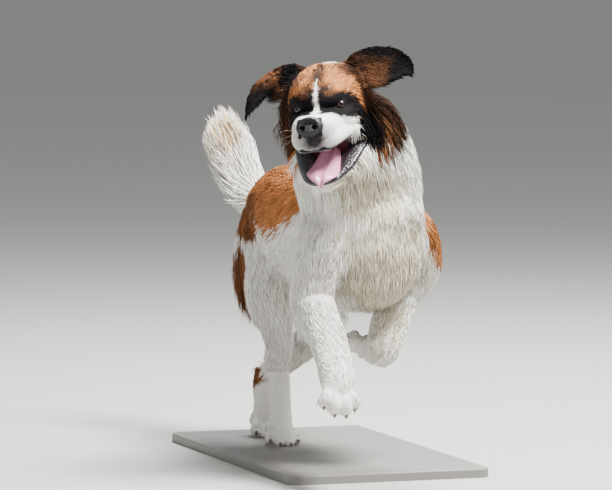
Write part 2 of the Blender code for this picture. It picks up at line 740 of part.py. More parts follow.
# A point well inside each piece of the body, used to name the pieces after the cuts
PLACES = {
    "neck": (-0.03, -0.35, 0.72),
    "torso": (0, 0.0, 0.55),
    "tail": (-0.08, 0.53, 0.67),
    "foreleg_right": (-0.155, -0.44, 0.35),
    "foreleg_left": (0.075, -0.31, 0.35),
    "hindleg_right": (-0.09, 0.17, 0.33),
    "hindleg_left": (0.07, 0.21, 0.31),
}


def name_pieces(pieces, collection):
    """Gives each large piece its node name, by the nearest place, and drops the scraps."""
    for name, place in PLACES.items():
        spot = Vector(place) + Vector((0, 0, FOOT_LEVEL))

        def distance(piece):
            centre = sum((v.co for v in piece.verts), Vector()) / len(piece.verts)
            return (centre - spot).length

        best = min(pieces[:7], key=distance)
        pieces.remove(best)
        add_object(name, best, collection)


def base(collection):
    bm = bmesh.new()
    bmesh.ops.create_cube(bm, size=1, matrix=Matrix.Translation((0, 0, BASE_THICKNESS / 2))
                          @ Matrix.Diagonal((BASE_WIDTH, BASE_LENGTH, BASE_THICKNESS, 1)))
    upright = [e for e in bm.edges if abs(e.verts[0].co.z - e.verts[1].co.z) > BASE_THICKNESS / 2]
    bmesh.ops.bevel(bm, geom=upright, offset=BASE_CORNER, segments=6, profile=0.5, affect="EDGES", material=-1)
    rim = [e for e in bm.edges if min(v.co.z for v in e.verts) > BASE_THICKNESS * 0.9 and len(e.link_faces) == 2
           and abs(e.link_faces[0].normal.z - e.link_faces[1].normal.z) > 0.5]
    bmesh.ops.bevel(bm, geom=rim, offset=BASE_EDGE, segments=2, profile=0.5, affect="EDGES", material=-1)
    return add_object("stand_base", bm, collection)


def build_head(dog, cutters, frame):
    """The head with its lids, jaw, tongue, nose, eyes and ears, each seated in the next with a thin gap."""
    head = head_flesh(dog, frame)
    finder = skin_finder(head)
    eyes, rims = [], []
    up = frame.to_3x3() @ Vector((0, 0, 1))
    for side, name in ((-1, "eye_right"), (1, "eye_left")):
        centre, facing = eye_place(finder, frame, side)
        bm = bmesh.new()
        bmesh.ops.create_uvsphere(bm, u_segments=12, v_segments=8, radius=EYE_RADIUS,
                                  matrix=Matrix.Translation(centre))
        eyes.append(add_object(name, bm, dog))
        for lift, thick in ((48, 0.0036), (-46, 0.0032)):
            rim = bmesh.new()
            lid(rim, centre, facing, up, side, lift, thick)
            rims.append(rim)
    locks = head_locks(finder, frame)
    join_all(head, rims + locks, "HeadLocks")
    jaw = jaw_flesh(dog, frame)
    tongue = soft_loft("tongue", TONGUE, frame, dog, side=(1, 0, -0.2), sides=12, steps=2, power=2.2, cup=-0.12)
    nose, nostrils = nose_pad(dog, frame)
    ears = [soft_loft("ear_right", EAR_RIGHT, frame, dog, side=(0, 0.3, 1), sides=14, steps=2, cup=0.18),
            soft_loft("ear_left", EAR_LEFT, frame, dog, side=(0, 0.5, 1), sides=14, steps=2, cup=0.18)]
    seat(tongue, [jaw, head], cutters)
    seat(jaw, [head], cutters)
    for piece in (*eyes, nose, *ears):
        seat(piece, [head], cutters)
    boolean(nose, nostrils, "DIFFERENCE")
    bpy.data.objects.remove(nostrils)
    return head, [jaw, tongue, nose, *eyes, *ears]


def paint():
    """One material for each kind of surface."""
    white = material("white_coat", WHITE, 0.85)
    rust = material("rust_coat", RUST, 0.85)
    dark = material("dark_coat", DARK, 0.85)
    kinds = {
        "head": rust, "ear_left": dark, "ear_right": dark, "lower_jaw": white,
        "nose": material("nose_leather", NOSE_BLACK, 0.45),
        "tongue": material("tongue_skin", TONGUE_PINK, 0.4),
        "eye_left": material("eye_glass", EYE_BROWN, 0.1),
        "stand_base": material("painted_wood", BASE_GREY, 0.6),
    }
    kinds["eye_right"] = kinds["eye_left"]
    for obj in bpy.data.collections["SaintBernard"].objects:
        obj.data.materials.clear()
        obj.data.materials.append(kinds.get(obj.name, white))


def main():
    clear_scene()
    dog = new_collection("SaintBernard")
    cutters = new_collection("Cutters", hidden=True)
    frame = head_matrix()
    head, pieces = build_head(dog, cutters, frame)
    body = body_flesh(cutters)
    locks = body_locks(skin_finder(body))
    join_all(body, claws() + locks, "BodyLocks")
    for piece in (head, *pieces):
        seat(piece, [body], cutters)
    floor = bmesh.new()
    bmesh.ops.create_cube(floor, size=2, matrix=Matrix.Translation((0, 0, FOOT_LEVEL - 1)))
    boolean(body, add_object("Floor", floor, cutters), "DIFFERENCE")
    name_pieces(part_off(body, cutters), dog)
    base(dog)
    paint()


main()
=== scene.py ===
"""The Saint Bernard's looks: one skin under a combed coat of solid tufts, its eyes, nose, mouth and claws.

Metres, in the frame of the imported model. The dog faces -Y and +X is its left side. The head has a frame of
its own: its origin is midway between the eyes, -Y is forward and +X the dog's left.
"""
import math

import bmesh
import bpy
import numpy as np
from mathutils import Matrix, Vector
from mathutils.bvhtree import BVHTree
from mathutils.kdtree import KDTree


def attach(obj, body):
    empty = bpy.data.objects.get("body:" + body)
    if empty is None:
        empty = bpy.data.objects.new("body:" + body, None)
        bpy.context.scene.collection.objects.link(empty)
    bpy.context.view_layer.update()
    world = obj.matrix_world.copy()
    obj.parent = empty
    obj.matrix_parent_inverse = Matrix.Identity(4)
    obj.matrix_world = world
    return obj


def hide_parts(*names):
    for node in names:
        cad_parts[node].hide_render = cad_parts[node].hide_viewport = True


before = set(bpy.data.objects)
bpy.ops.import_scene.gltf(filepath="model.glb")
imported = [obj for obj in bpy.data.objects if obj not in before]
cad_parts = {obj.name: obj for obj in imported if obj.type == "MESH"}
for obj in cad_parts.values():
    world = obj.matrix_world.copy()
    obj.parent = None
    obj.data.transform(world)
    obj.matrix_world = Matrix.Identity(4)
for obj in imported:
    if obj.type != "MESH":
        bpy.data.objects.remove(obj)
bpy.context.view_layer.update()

# The camera stands before the dog and to its right, a little above its back
CAMERA_PLACE = (-4.014, -11.506, 1.499)
CAMERA_AIM = (-0.1194, -0.1944, 0.5576)
CAMERA_LENS = 285.9
# Studio lamps: name, place, width, watts
LAMPS = [("key", (1.3, -1.9, 4.6), 1.6, 1200), ("fill", (-3.6, -3.4, 1.6), 2.6, 45),
         ("rim", (1.2, 2.2, 4.0), 1.2, 420)]
LAMPS_AIM = (0, 0, 0.5)
SKY_STRENGTH = 0.62

# Driving sizes of the body, the same as the solids have
FOOT_LEVEL = 0.0223
EYE_RADIUS = 0.0135
EYE_HALF_SPACING = 0.052
EYE_STAND_OUT = 0.0048
HEAD_YAW = math.radians(34)
HEAD_PITCH = math.radians(-3)
HEAD_ROLL = math.radians(7)
JAW_OPEN = math.radians(21)
EYES_MIDPOINT = (-0.170, -0.457, 0.890)
JAW_HINGE = (0, 0.085, -0.055)

# The glass eye stands out this much further than the solids' eye, because the lids take up some of its front
EYE_FORWARD = 0.0026
# Where the left eye looks, in the head's frame
GAZE = (0.25, -0.96, 0.05)
# The eye from its middle outwards, pupil, iris, its rim and the rest: up to which angle in degrees, colour
EYE_RINGS = [(19, "030203"), (36, "2C170C"), (43, "060404"), (360, "1C1513")]

# Stations along each limb: x, y, z from the foot level, half width, half depth
TORSO = [
    (0, -0.470, 0.533, 0.020, 0.025),
    (0, -0.457, 0.534, 0.055, 0.065),
    (0, -0.425, 0.530, 0.095, 0.105),
    (0, -0.370, 0.535, 0.130, 0.140),
    (0, -0.290, 0.548, 0.150, 0.168),
    (0, -0.200, 0.555, 0.158, 0.180),
    (0, -0.080, 0.553, 0.162, 0.172),
    (0, 0.050, 0.562, 0.155, 0.160),
    (0, 0.160, 0.576, 0.140, 0.146),
    (0, 0.260, 0.578, 0.122, 0.134),
    (0, 0.340, 0.563, 0.102, 0.116),
    (0, 0.395, 0.550, 0.074, 0.086),
    (0, 0.425, 0.550, 0.038, 0.048),
]
NECK = [
    (0.000, -0.200, 0.570, 0.135, 0.150),
    (0.000, -0.255, 0.635, 0.150, 0.158),
    (-0.022, -0.305, 0.700, 0.156, 0.152),
    (-0.052, -0.340, 0.765, 0.152, 0.138),
    (-0.080, -0.362, 0.825, 0.138, 0.124),
    (-0.102, -0.382, 0.880, 0.110, 0.104),
    (-0.114, -0.393, 0.918, 0.078, 0.076),
]
TAIL = [
    (0.000, 0.350, 0.582, 0.044, 0.048),
    (-0.010, 0.420, 0.586, 0.046, 0.046),
    (-0.026, 0.478, 0.606, 0.049, 0.047),
    (-0.042, 0.520, 0.645, 0.053, 0.048),
    (-0.057, 0.543, 0.690, 0.055, 0.046),
    (-0.072, 0.552, 0.735, 0.050, 0.042),
    (-0.082, 0.552, 0.772, 0.034, 0.030),
]
FORELEG_RIGHT = [
    (-0.098, -0.290, 0.620, 0.045, 0.085),
    (-0.120, -0.318, 0.560, 0.058, 0.100),
    (-0.138, -0.345, 0.500, 0.058, 0.090),
    (-0.155, -0.360, 0.450, 0.054, 0.072),
    (-0.161, -0.372, 0.412, 0.052, 0.061),
    (-0.162, -0.413, 0.374, 0.050, 0.055),
    (-0.160, -0.470, 0.330, 0.048, 0.049),
    (-0.164, -0.524, 0.290, 0.046, 0.044),
    (-0.168, -0.558, 0.262, 0.047, 0.043),
    (-0.174, -0.592, 0.230, 0.043, 0.038),
    (-0.179, -0.612, 0.206, 0.030, 0.026),
]
FORELEG_LEFT = [
    (0.100, -0.275, 0.620, 0.045, 0.085),
    (0.124, -0.282, 0.560, 0.058, 0.100),
    (0.138, -0.280, 0.505, 0.058, 0.090),
    (0.133, -0.270, 0.460, 0.055, 0.074),
    (0.107, -0.275, 0.422, 0.052, 0.060),
    (0.079, -0.300, 0.384, 0.050, 0.053),
    (0.050, -0.330, 0.342, 0.048, 0.048),
    (0.031, -0.350, 0.306, 0.046, 0.044),
    (0.021, -0.356, 0.280, 0.043, 0.041),
    (0.015, -0.346, 0.258, 0.032, 0.029),
]
THIGH_RIGHT = [
    (-0.060, 0.300, 0.600, 0.050, 0.070),
    (-0.070, 0.285, 0.540, 0.060, 0.108),
    (-0.076, 0.250, 0.475, 0.060, 0.115),
    (-0.087, 0.205, 0.410, 0.059, 0.098),
    (-0.096, 0.160, 0.360, 0.053, 0.074),
    (-0.085, 0.150, 0.312, 0.046, 0.060),
    (-0.066, 0.175, 0.262, 0.040, 0.048),
    (-0.057, 0.205, 0.218, 0.037, 0.041),
    (-0.054, 0.217, 0.190, 0.033, 0.036),
    (-0.053, 0.214, 0.160, 0.024, 0.026),
]
SHANK_RIGHT = [
    (-0.054, 0.224, 0.208, 0.029, 0.032),
    (-0.053, 0.214, 0.160, 0.032, 0.032),
    (-0.056, 0.193, 0.102, 0.032, 0.029),
    (-0.064, 0.165, 0.050, 0.035, 0.028),
]
THIGH_LEFT = [
    (0.060, 0.300, 0.600, 0.050, 0.070),
    (0.076, 0.290, 0.540, 0.060, 0.108),
    (0.086, 0.262, 0.470, 0.062, 0.112),
    (0.092, 0.225, 0.400, 0.058, 0.094),
    (0.083, 0.195, 0.345, 0.052, 0.070),
    (0.062, 0.212, 0.292, 0.044, 0.056),
    (0.028, 0.272, 0.234, 0.038, 0.045),
    (-0.006, 0.342, 0.183, 0.033, 0.037),
    (-0.028, 0.386, 0.155, 0.029, 0.032),
    (-0.036, 0.391, 0.130, 0.021, 0.023),
]
SHANK_LEFT = [
    (-0.030, 0.397, 0.170, 0.025, 0.028),
    (-0.037, 0.391, 0.128, 0.028, 0.030),
    (-0.042, 0.370, 0.085, 0.029, 0.027),
    (-0.047, 0.346, 0.048, 0.034, 0.027),
]
# Paws: where the pastern ends, where the toes point, where the back of the paw faces, size
PAWS = {
    "foreleg_right": ((-0.178, -0.590, 0.232), (-0.08, -0.60, -0.78), (0.05, -0.79, 0.61), 1.04),
    "foreleg_left": ((0.008, -0.322, 0.284), (-0.10, 0.99, -0.02), (-0.60, -0.10, -0.79), 1.10),
    "hindleg_right": ((-0.066, 0.168, 0.040), (-0.10, -0.94, -0.38), (0, -0.38, 0.94), 0.98),
    "hindleg_left": ((-0.048, 0.350, 0.040), (-0.04, -0.94, -0.38), (0, -0.38, 0.94), 0.96),
}
# A paw without its hair, as a share of its size, and its half width and half depth
BARE_PAW = 0.97
PAW_HALVES = (0.032, 0.026)
# In the paw's own frame: its back, its toes (sideways, start, reach, radius) and the pad in its middle
PAW_BACK = [
    (0, -0.020, 0.000, 0.035, 0.029),
    (0, 0.015, 0.000, 0.037, 0.026),
    (0, 0.050, -0.004, 0.034, 0.018),
]
TOES = [(-0.033, 0.022, 0.064, 0.0155), (-0.0125, 0.026, 0.083, 0.0165),
        (0.0125, 0.026, 0.083, 0.0165), (0.033, 0.022, 0.064, 0.0155)]
TOE_SPREAD = 1.12
PAD = [
    ((0, 0.024, -0.021), (0.024, 0.017, 0.0085)),
    ((-0.012, 0.016, -0.020), (0.014, 0.012, 0.008)),
    ((0.012, 0.016, -0.020), (0.014, 0.012, 0.008)),
]

# The forechest runs without a step from the neck down between the legs. Balls fill it, centre and radii, and it
# is smoothed about a centre, less and less towards the radii.
FORECHEST = [
    ((0, -0.345, 0.615), (0.127, 0.116, 0.101)),
    ((0, -0.325, 0.690), (0.105, 0.105, 0.105)),
    ((0, -0.325, 0.545), (0.118, 0.118, 0.105)),
]
CHEST_CENTRE = (0, -0.40, 0.62)
CHEST_RADII = (0.155, 0.20, 0.24)
CHEST_FADE = 2.5

# The head, in its own frame
MUZZLE = [
    (0, -0.136, -0.060, 0.028, 0.024),
    (0, -0.128, -0.060, 0.043, 0.035),
    (0, -0.104, -0.057, 0.054, 0.038),
    (0, -0.070, -0.051, 0.060, 0.036),
    (0, -0.040, -0.043, 0.067, 0.037),
    (0, -0.005, -0.036, 0.075, 0.040),
    (0, 0.040, -0.034, 0.080, 0.042),
]
SKULL = [
    (0, -0.030, -0.010, 0.030, 0.020),
    (0, -0.020, 0.006, 0.060, 0.042),
    (0, 0.004, 0.015, 0.081, 0.066),
    (0, 0.042, 0.018, 0.096, 0.087),
    (0, 0.085, 0.013, 0.100, 0.092),
    (0, 0.125, 0.002, 0.092, 0.084),
    (0, 0.160, -0.012, 0.070, 0.064),
    (0, 0.178, -0.018, 0.038, 0.038),
]
FLEW = [
    (0.000, -0.123, -0.086, 0.016, 0.022),
    (0.028, -0.116, -0.086, 0.014, 0.022),
    (0.046, -0.090, -0.079, 0.013, 0.021),
    (0.057, -0.055, -0.070, 0.012, 0.019),
    (0.067, -0.015, -0.061, 0.012, 0.016),
    (0.075, 0.025, -0.056, 0.012, 0.013),
    (0.082, 0.060, -0.058, 0.012, 0.012),
    (0.085, 0.086, -0.066, 0.011, 0.012),
]
JAW = [
    (0, -0.112, -0.128, 0.020, 0.010),
    (0, -0.102, -0.131, 0.034, 0.015),
    (0, -0.075, -0.134, 0.042, 0.019),
    (0, -0.035, -0.132, 0.049, 0.023),
    (0, 0.005, -0.125, 0.056, 0.029),
    (0, 0.045, -0.110, 0.060, 0.036),
    (0, 0.085, -0.085, 0.056, 0.038),
]
LOWER_LIP = [
    (0.000, -0.112, -0.119, 0.008, 0.007),
    (0.020, -0.107, -0.118, 0.010, 0.008),
    (0.034, -0.085, -0.117, 0.013, 0.009),
    (0.044, -0.045, -0.113, 0.018, 0.010),
    (0.055, -0.005, -0.102, 0.021, 0.011),
    (0.069, 0.036, -0.089, 0.018, 0.011),
    (0.081, 0.072, -0.080, 0.011, 0.010),
]
TONGUE = [
    (0.006, 0.045, -0.098, 0.020, 0.010),
    (0.006, 0.012, -0.116, 0.026, 0.011),
    (0.007, -0.028, -0.137, 0.032, 0.010),
    (0.008, -0.062, -0.151, 0.037, 0.008),
    (0.008, -0.090, -0.160, 0.038, 0.0065),
    (0.008, -0.107, -0.168, 0.031, 0.0055),
    (0.007, -0.117, -0.179, 0.019, 0.0045),
    (0.006, -0.119, -0.188, 0.006, 0.003),
]
# The groove down the tongue
TONGUE_MIDDLE = 0.008
GROOVE_HALF_WIDTH = 0.0050
GROOVE_DEPTH = 0.0080
# The nose pad, and on the left what is cut out of it
NOSE_PAD = [
    (0, -0.146, -0.050, 0.010, 0.008),
    (0, -0.144, -0.051, 0.025, 0.020),
    (0, -0.136, -0.051, 0.0325, 0.026),
    (0, -0.125, -0.051, 0.034, 0.027),
    (0, -0.112, -0.050, 0.029, 0.023),
    (0, -0.098, -0.052, 0.020, 0.016),
]
NOSTRIL = [
    (0.0150, -0.155, -0.051, 0.0076, 0.0068),
    (0.0150, -0.141, -0.051, 0.0070, 0.0062),
    (0.0140, -0.126, -0.049, 0.0036, 0.0032),
]
NOSE_SLIT = [
    (0.018, -0.151, -0.055, 0.0032, 0.0026),
    (0.026, -0.144, -0.060, 0.0032, 0.0023),
    (0.034, -0.130, -0.063, 0.0030, 0.0020),
]
NOSE_GROOVE = [
    (0, -0.140, -0.084, 0.0012, 0.004),
    (0, -0.144, -0.070, 0.0012, 0.004),
    (0, -0.147, -0.056, 0.0008, 0.003),
]
# Upper premolars on the left: place and length
PREMOLARS = [(0.054, -0.046, -0.077, 0.008), (0.058, -0.030, -0.074, 0.009), (0.062, -0.012, -0.071, 0.008)]
WHISKER_RADIUS = 0.00013
# The mouth's corners in y and z, how steeply the mouth runs down from them, and how fast it gapes
MOUTH_CORNER = (0.086, -0.080)
MOUTH_SLOPE = 0.36
MOUTH_GAPE = 0.23
EAR_RIGHT = [
    (-0.055, 0.082, 0.064, 0.044, 0.012),
    (-0.092, 0.080, 0.080, 0.046, 0.010),
    (-0.128, 0.075, 0.077, 0.038, 0.008),
    (-0.162, 0.068, 0.063, 0.031, 0.007),
    (-0.184, 0.060, 0.038, 0.024, 0.006),
    (-0.198, 0.054, 0.014, 0.014, 0.005),
    (-0.206, 0.050, -0.005, 0.005, 0.003),
]
EAR_LEFT = [
    (0.055, 0.084, 0.064, 0.052, 0.012),
    (0.085, 0.083, 0.076, 0.060, 0.010),
    (0.115, 0.080, 0.081, 0.062, 0.008),
    (0.147, 0.076, 0.081, 0.059, 0.007),
    (0.175, 0.069, 0.079, 0.050, 0.006),
    (0.197, 0.060, 0.073, 0.037, 0.005),
    (0.211, 0.053, 0.064, 0.021, 0.0045),
    (0.217, 0.050, 0.054, 0.007, 0.003),
]

# How far the skin lies under the solids' surface: the depth of the coat on each limb
DEPTH = {"torso": 0.009, "neck": 0.009, "tail": 0.018, "foreleg": 0.004, "thigh": 0.006, "shank": 0.004,
         "head": 0.003, "ear": 0.005}
# A thin section keeps at least this share of itself under the coat
LEAST_FLESH = 0.35
# The skin is thinned to this many triangles
SKIN_TRIANGLES = 190000


def linear(hex_colour):
    """The linear values of an sRGB hex colour."""
    channels = [int(hex_colour[i:i + 2], 16) / 255 for i in (0, 2, 4)]
    return [c / 12.92 if c <= 0.04045 else ((c + 0.055) / 1.055) ** 2.4 for c in channels]


def node(material, kind, settings=None, **links):
    """Adds a shader node. Settings name its properties or sockets, by number where two sockets share a name,
    and a link names a socket and what feeds it."""
    made = material.node_tree.nodes.new(kind)
    for name, value in (settings or {}).items():
        if isinstance(name, int) or name in made.inputs:
            made.inputs[name].default_value = value
        else:
            setattr(made, name, value)
    for name, source in links.items():
        material.node_tree.links.new(source, made.inputs[name.replace("_", " ")])
    return made


def new_material(name):
    """An empty material."""
    material = bpy.data.materials.new(name)
    material.use_nodes = True
    material.node_tree.nodes.clear()
    return material


def finished(material, shader):
    """The material with its shader on the surface."""
    node(material, "ShaderNodeOutputMaterial", Surface=shader.outputs["BSDF"])
    return material


def clad(obj, material):
    """The object in one material."""
    obj.data.materials.clear()
    obj.data.materials.append(material)
    return obj


def head_matrix():
    """From the head's own frame to the dog's."""
    turn = (Matrix.Rotation(-HEAD_YAW, 4, "Z") @ Matrix.Rotation(HEAD_PITCH, 4, "X")
            @ Matrix.Rotation(-HEAD_ROLL, 4, "Y"))
    return Matrix.Translation(Vector(EYES_MIDPOINT) + Vector((0, 0, FOOT_LEVEL))) @ turn


def jaw_turn():
    """Swings the lower jaw open about its hinge."""
    hinge = Matrix.Translation(JAW_HINGE)
    return hinge @ Matrix.Rotation(JAW_OPEN, 4, "X") @ hinge.inverted()


def paw_frame(place, forward, back, scale=1.0):
    """The matrix of a paw: +Y along the toes, +Z out of the back of the paw."""
    y = Vector(forward).normalized()
    x = y.cross(Vector(back)).normalized()
    turn = Matrix((x, y, x.cross(y))).transposed().to_4x4()
    return (Matrix.Translation(Vector(place) + Vector((0, 0, FOOT_LEVEL))) @ turn
            @ Matrix.Diagonal((scale, scale, scale, 1)))


HEAD = head_matrix()
LOWER = HEAD @ jaw_turn()
GROUND = Matrix.Translation((0, 0, FOOT_LEVEL))


def sided(stations, side):
    """The stations of a limb on the left for side 1, or mirrored to the right for side -1."""
    return [(side * x, y, z, w, d) for x, y, z, w, d in stations]


def thinned(stations, depth):
    """The same limb with the coat's depth taken off its sections."""
    return [(x, y, z, max(w - depth, w * LEAST_FLESH), max(d - depth, d * LEAST_FLESH))
            for x, y, z, w, d in stations]


def smooth_stations(stations, steps):
    """Catmull-Rom through the stations."""
    points = [Vector(s) for s in stations]
    ends = [points[0] * 2 - points[1], *points, points[-1] * 2 - points[-2]]
    made = []
    for i in range(1, len(ends) - 2):
        a, b, c, d = ends[i - 1:i + 3]
        for k in range(steps):
            t = k / steps
            made.append(0.5 * (2 * b + (c - a) * t + (2 * a - 5 * b + 4 * c - d) * t ** 2
                               + (3 * b - a - 3 * c + d) * t ** 3))
    return made + [points[-1]]


def sections(stations, steps, side=(1, 0, 0)):
    """For each section along a limb: its row, centre, line, width's direction and depth's direction."""
    rows = smooth_stations(stations, steps)
    centres = [Vector(r[:3]) for r in rows]
    made = []
    for i, row in enumerate(rows):
        along = (centres[min(i + 1, len(rows) - 1)] - centres[max(i - 1, 0)]).normalized()
        across = (Vector(side) - along * along.dot(Vector(side))).normalized()
        made.append((row, centres[i], along, across, along.cross(across)))
    return made


def loft(bm, stations, matrix=None, side=(1, 0, 0), sides=20, steps=4, power=2.0, cup=0.0, narrow=0.0):
    """Rings along a bent line, bridged to one closed limb. power over 2 is boxier, cup bends a flat section
    into a trough, and narrow makes the lower half of a section slimmer."""
    rows = sections(stations, steps, side)
    before = None
    for i, (row, centre, _, across, depth) in enumerate(rows):
        end = i in (0, len(rows) - 1)
        ring = bmesh.ops.create_circle(bm, cap_ends=end, segments=sides, radius=1)["verts"]
        edges = list({e for v in ring for e in v.link_edges})
        for v in ring:
            c, s = v.co.x, v.co.y
            c = math.copysign(abs(c) ** (2 / power), c)
            s = math.copysign(abs(s) ** (2 / power), s)
            width = row[3] * (1 - narrow * max(0, s) * abs(s))
            v.co = centre + across * width * c + depth * (row[4] * s + cup * row[3] * c * c)
            if matrix:
                v.co = matrix @ v.co
        if before:
            bmesh.ops.bridge_loops(bm, edges=before + edges)
        before = edges


def ball(bm, centre, radii, matrix, turn=None):
    """An ellipsoid."""
    place = Matrix.Translation(Vector(centre)) @ (turn or Matrix.Identity(4)) @ Matrix.Diagonal((*radii, 1))
    bmesh.ops.create_uvsphere(bm, u_segments=24, v_segments=16, radius=1, matrix=matrix @ place)


def linked(name, data):
    """A new object in the scene."""
    obj = bpy.data.objects.new(name, data)
    bpy.context.scene.collection.objects.link(obj)
    return obj


def shade(mesh, smooth):
    """Smooth or flat shading on every face."""
    mesh.polygons.foreach_set("use_smooth", [smooth] * len(mesh.polygons))


def add_object(name, bm, smooth=True):
    """An object of the finished bmesh, with its faces turned outwards."""
    bmesh.ops.recalc_face_normals(bm, faces=bm.faces)
    mesh = bpy.data.meshes.new(name)
    bm.to_mesh(mesh)
    bm.free()
    shade(mesh, smooth)
    return linked(name, mesh)


def modified(obj, kind, **settings):
    """Applies one modifier to the object's mesh."""
    step = obj.modifiers.new(kind, kind)
    for name, value in settings.items():
        setattr(step, name, value)
    graph = bpy.context.evaluated_depsgraph_get()
    mesh = bpy.data.meshes.new_from_object(obj.evaluated_get(graph))
    obj.modifiers.clear()
    obj.data = mesh
    return obj


def combined(obj, operation, other):
    """Joins another closed shape to the object, or cuts it out, and removes that shape."""
    modified(obj, "BOOLEAN", operation=operation, solver="MANIFOLD", object=other)
    bpy.data.objects.remove(other)


def fused(name, bm, voxel, rounds):
    """Overlapping closed shapes made one smooth surface."""
    obj = add_object(name, bm)
    modified(obj, "REMESH", mode="VOXEL", voxel_size=voxel, use_smooth_shade=True)
    return modified(obj, "SMOOTH", factor=0.5, iterations=rounds)


def body_skin():
    """Torso, neck, tail and the tops of the legs without their coat."""
    bm = bmesh.new()
    loft(bm, thinned(TORSO, DEPTH["torso"]), GROUND, sides=24, power=2.15, narrow=0.12)
    loft(bm, thinned(NECK, DEPTH["neck"]), GROUND, sides=24)
    loft(bm, thinned(TAIL, DEPTH["tail"]), GROUND, sides=16)
    for chain in (FORELEG_RIGHT, FORELEG_LEFT):
        loft(bm, thinned(chain[:6], DEPTH["foreleg"]), GROUND)
    for chain in (THIGH_RIGHT, THIGH_LEFT):
        loft(bm, thinned(chain[:6], DEPTH["thigh"]), GROUND)
    for centre, radii in FORECHEST:
        ball(bm, centre, radii, GROUND)
    skin = fused("body_skin", bm, voxel=0.0070, rounds=10)
    # The chest's hair hides the steps between neck, forechest and shoulders
    group = skin.vertex_groups.new(name="chest")
    x, y, z = CHEST_CENTRE
    for v in skin.data.vertices:
        away = v.co - Vector((x, y, z + FOOT_LEVEL))
        reach = math.sqrt((away.x / CHEST_RADII[0]) ** 2 + (away.y / CHEST_RADII[1]) ** 2
                          + (away.z / CHEST_RADII[2]) ** 2)
        group.add([v.index], min(max((1 - reach) * CHEST_FADE, 0), 1), "REPLACE")
    modified(skin, "SMOOTH", vertex_group="chest", factor=0.7, iterations=150)
    skin.vertex_groups.clear()
    return skin


def leg_start(stations, share=0.80):
    """Slimmer at its first station, so that the leg grows out of the flesh over it without a step."""
    x, y, z, w, d = stations[0]
    return [(x, y, z, w * share, d * share), *stations[1:]]


def legs_skin():
    """The lower legs and paws: each paw has a broad back, four arched toes, their pads and a pad in the
    middle."""
    bm = bmesh.new()
    for chain in (FORELEG_RIGHT, FORELEG_LEFT):
        loft(bm, leg_start(thinned(chain[3:], DEPTH["foreleg"])), GROUND)
    for chain in (THIGH_RIGHT, THIGH_LEFT):
        loft(bm, leg_start(thinned(chain[3:], DEPTH["thigh"])), GROUND)
    for chain in (SHANK_RIGHT, SHANK_LEFT):
        loft(bm, thinned(chain, DEPTH["shank"]), GROUND)
    for place, forward, back, scale in PAWS.values():
        matrix = paw_frame(place, forward, back, scale * BARE_PAW)
        loft(bm, PAW_BACK, matrix)
        for sideways, begin, reach, radius in TOES:
            spread = sideways * TOE_SPREAD
            loft(bm, [
                (sideways * 0.8, begin, -0.002, radius * 0.85, radius),
                (sideways, (begin + reach) / 2, 0.003, radius * 0.9, radius * 1.12),
                (spread, reach - radius * 0.8, -0.004, radius * 0.94, radius * 1.0),
                (spread, reach, -0.008, radius * 0.5, radius * 0.55),
            ], matrix, sides=14)
            ball(bm, (spread, reach - radius * 1.1, -0.016), (radius * 0.62, radius * 0.9, 0.0065), matrix)
        for centre, radii in PAD:
            ball(bm, centre, radii, matrix)
    return fused("legs_skin", bm, voxel=0.0034, rounds=3)


def eye_place(finder, side):
    """Where an eyeball's centre lies: just under the skin, so that its front stands out between the lids."""
    start = HEAD @ Vector((side * EYE_HALF_SPACING, -0.10, 0))
    hit, _, _, _ = finder.ray_cast(start, HEAD.to_3x3() @ Vector((0, 1, 0)))
    facing = HEAD.to_3x3() @ Vector((side * GAZE[0], GAZE[1], GAZE[2])).normalized()
    return hit - facing * (EYE_RADIUS - EYE_STAND_OUT - EYE_FORWARD), facing


def lid(bm, centre, facing, side, lift, thick):
    """A soft rim over or under the eye, from one corner to the other. lift is its angle off the gaze, in
    degrees."""
    up = HEAD.to_3x3() @ Vector((0, 0, 1))
    across = up.cross(facing).normalized() * side
    upward = facing.cross(across).normalized() * (1 if facing.cross(across).dot(up) > 0 else -1)
    rows = []
    for k in range(-4, 5):
        turn = math.radians(k * 17)
        tip = math.radians(lift * math.cos(turn * 1.25))
        out = (facing * math.cos(turn) + across * math.sin(turn)) * math.cos(tip) + upward * math.sin(tip)
        place = centre + out * (EYE_RADIUS + 0.0004)
        rows.append((*place, thick * (0.6 + 0.4 * math.cos(turn)), thick * 0.7))
    loft(bm, rows, side=facing, sides=10, steps=2)


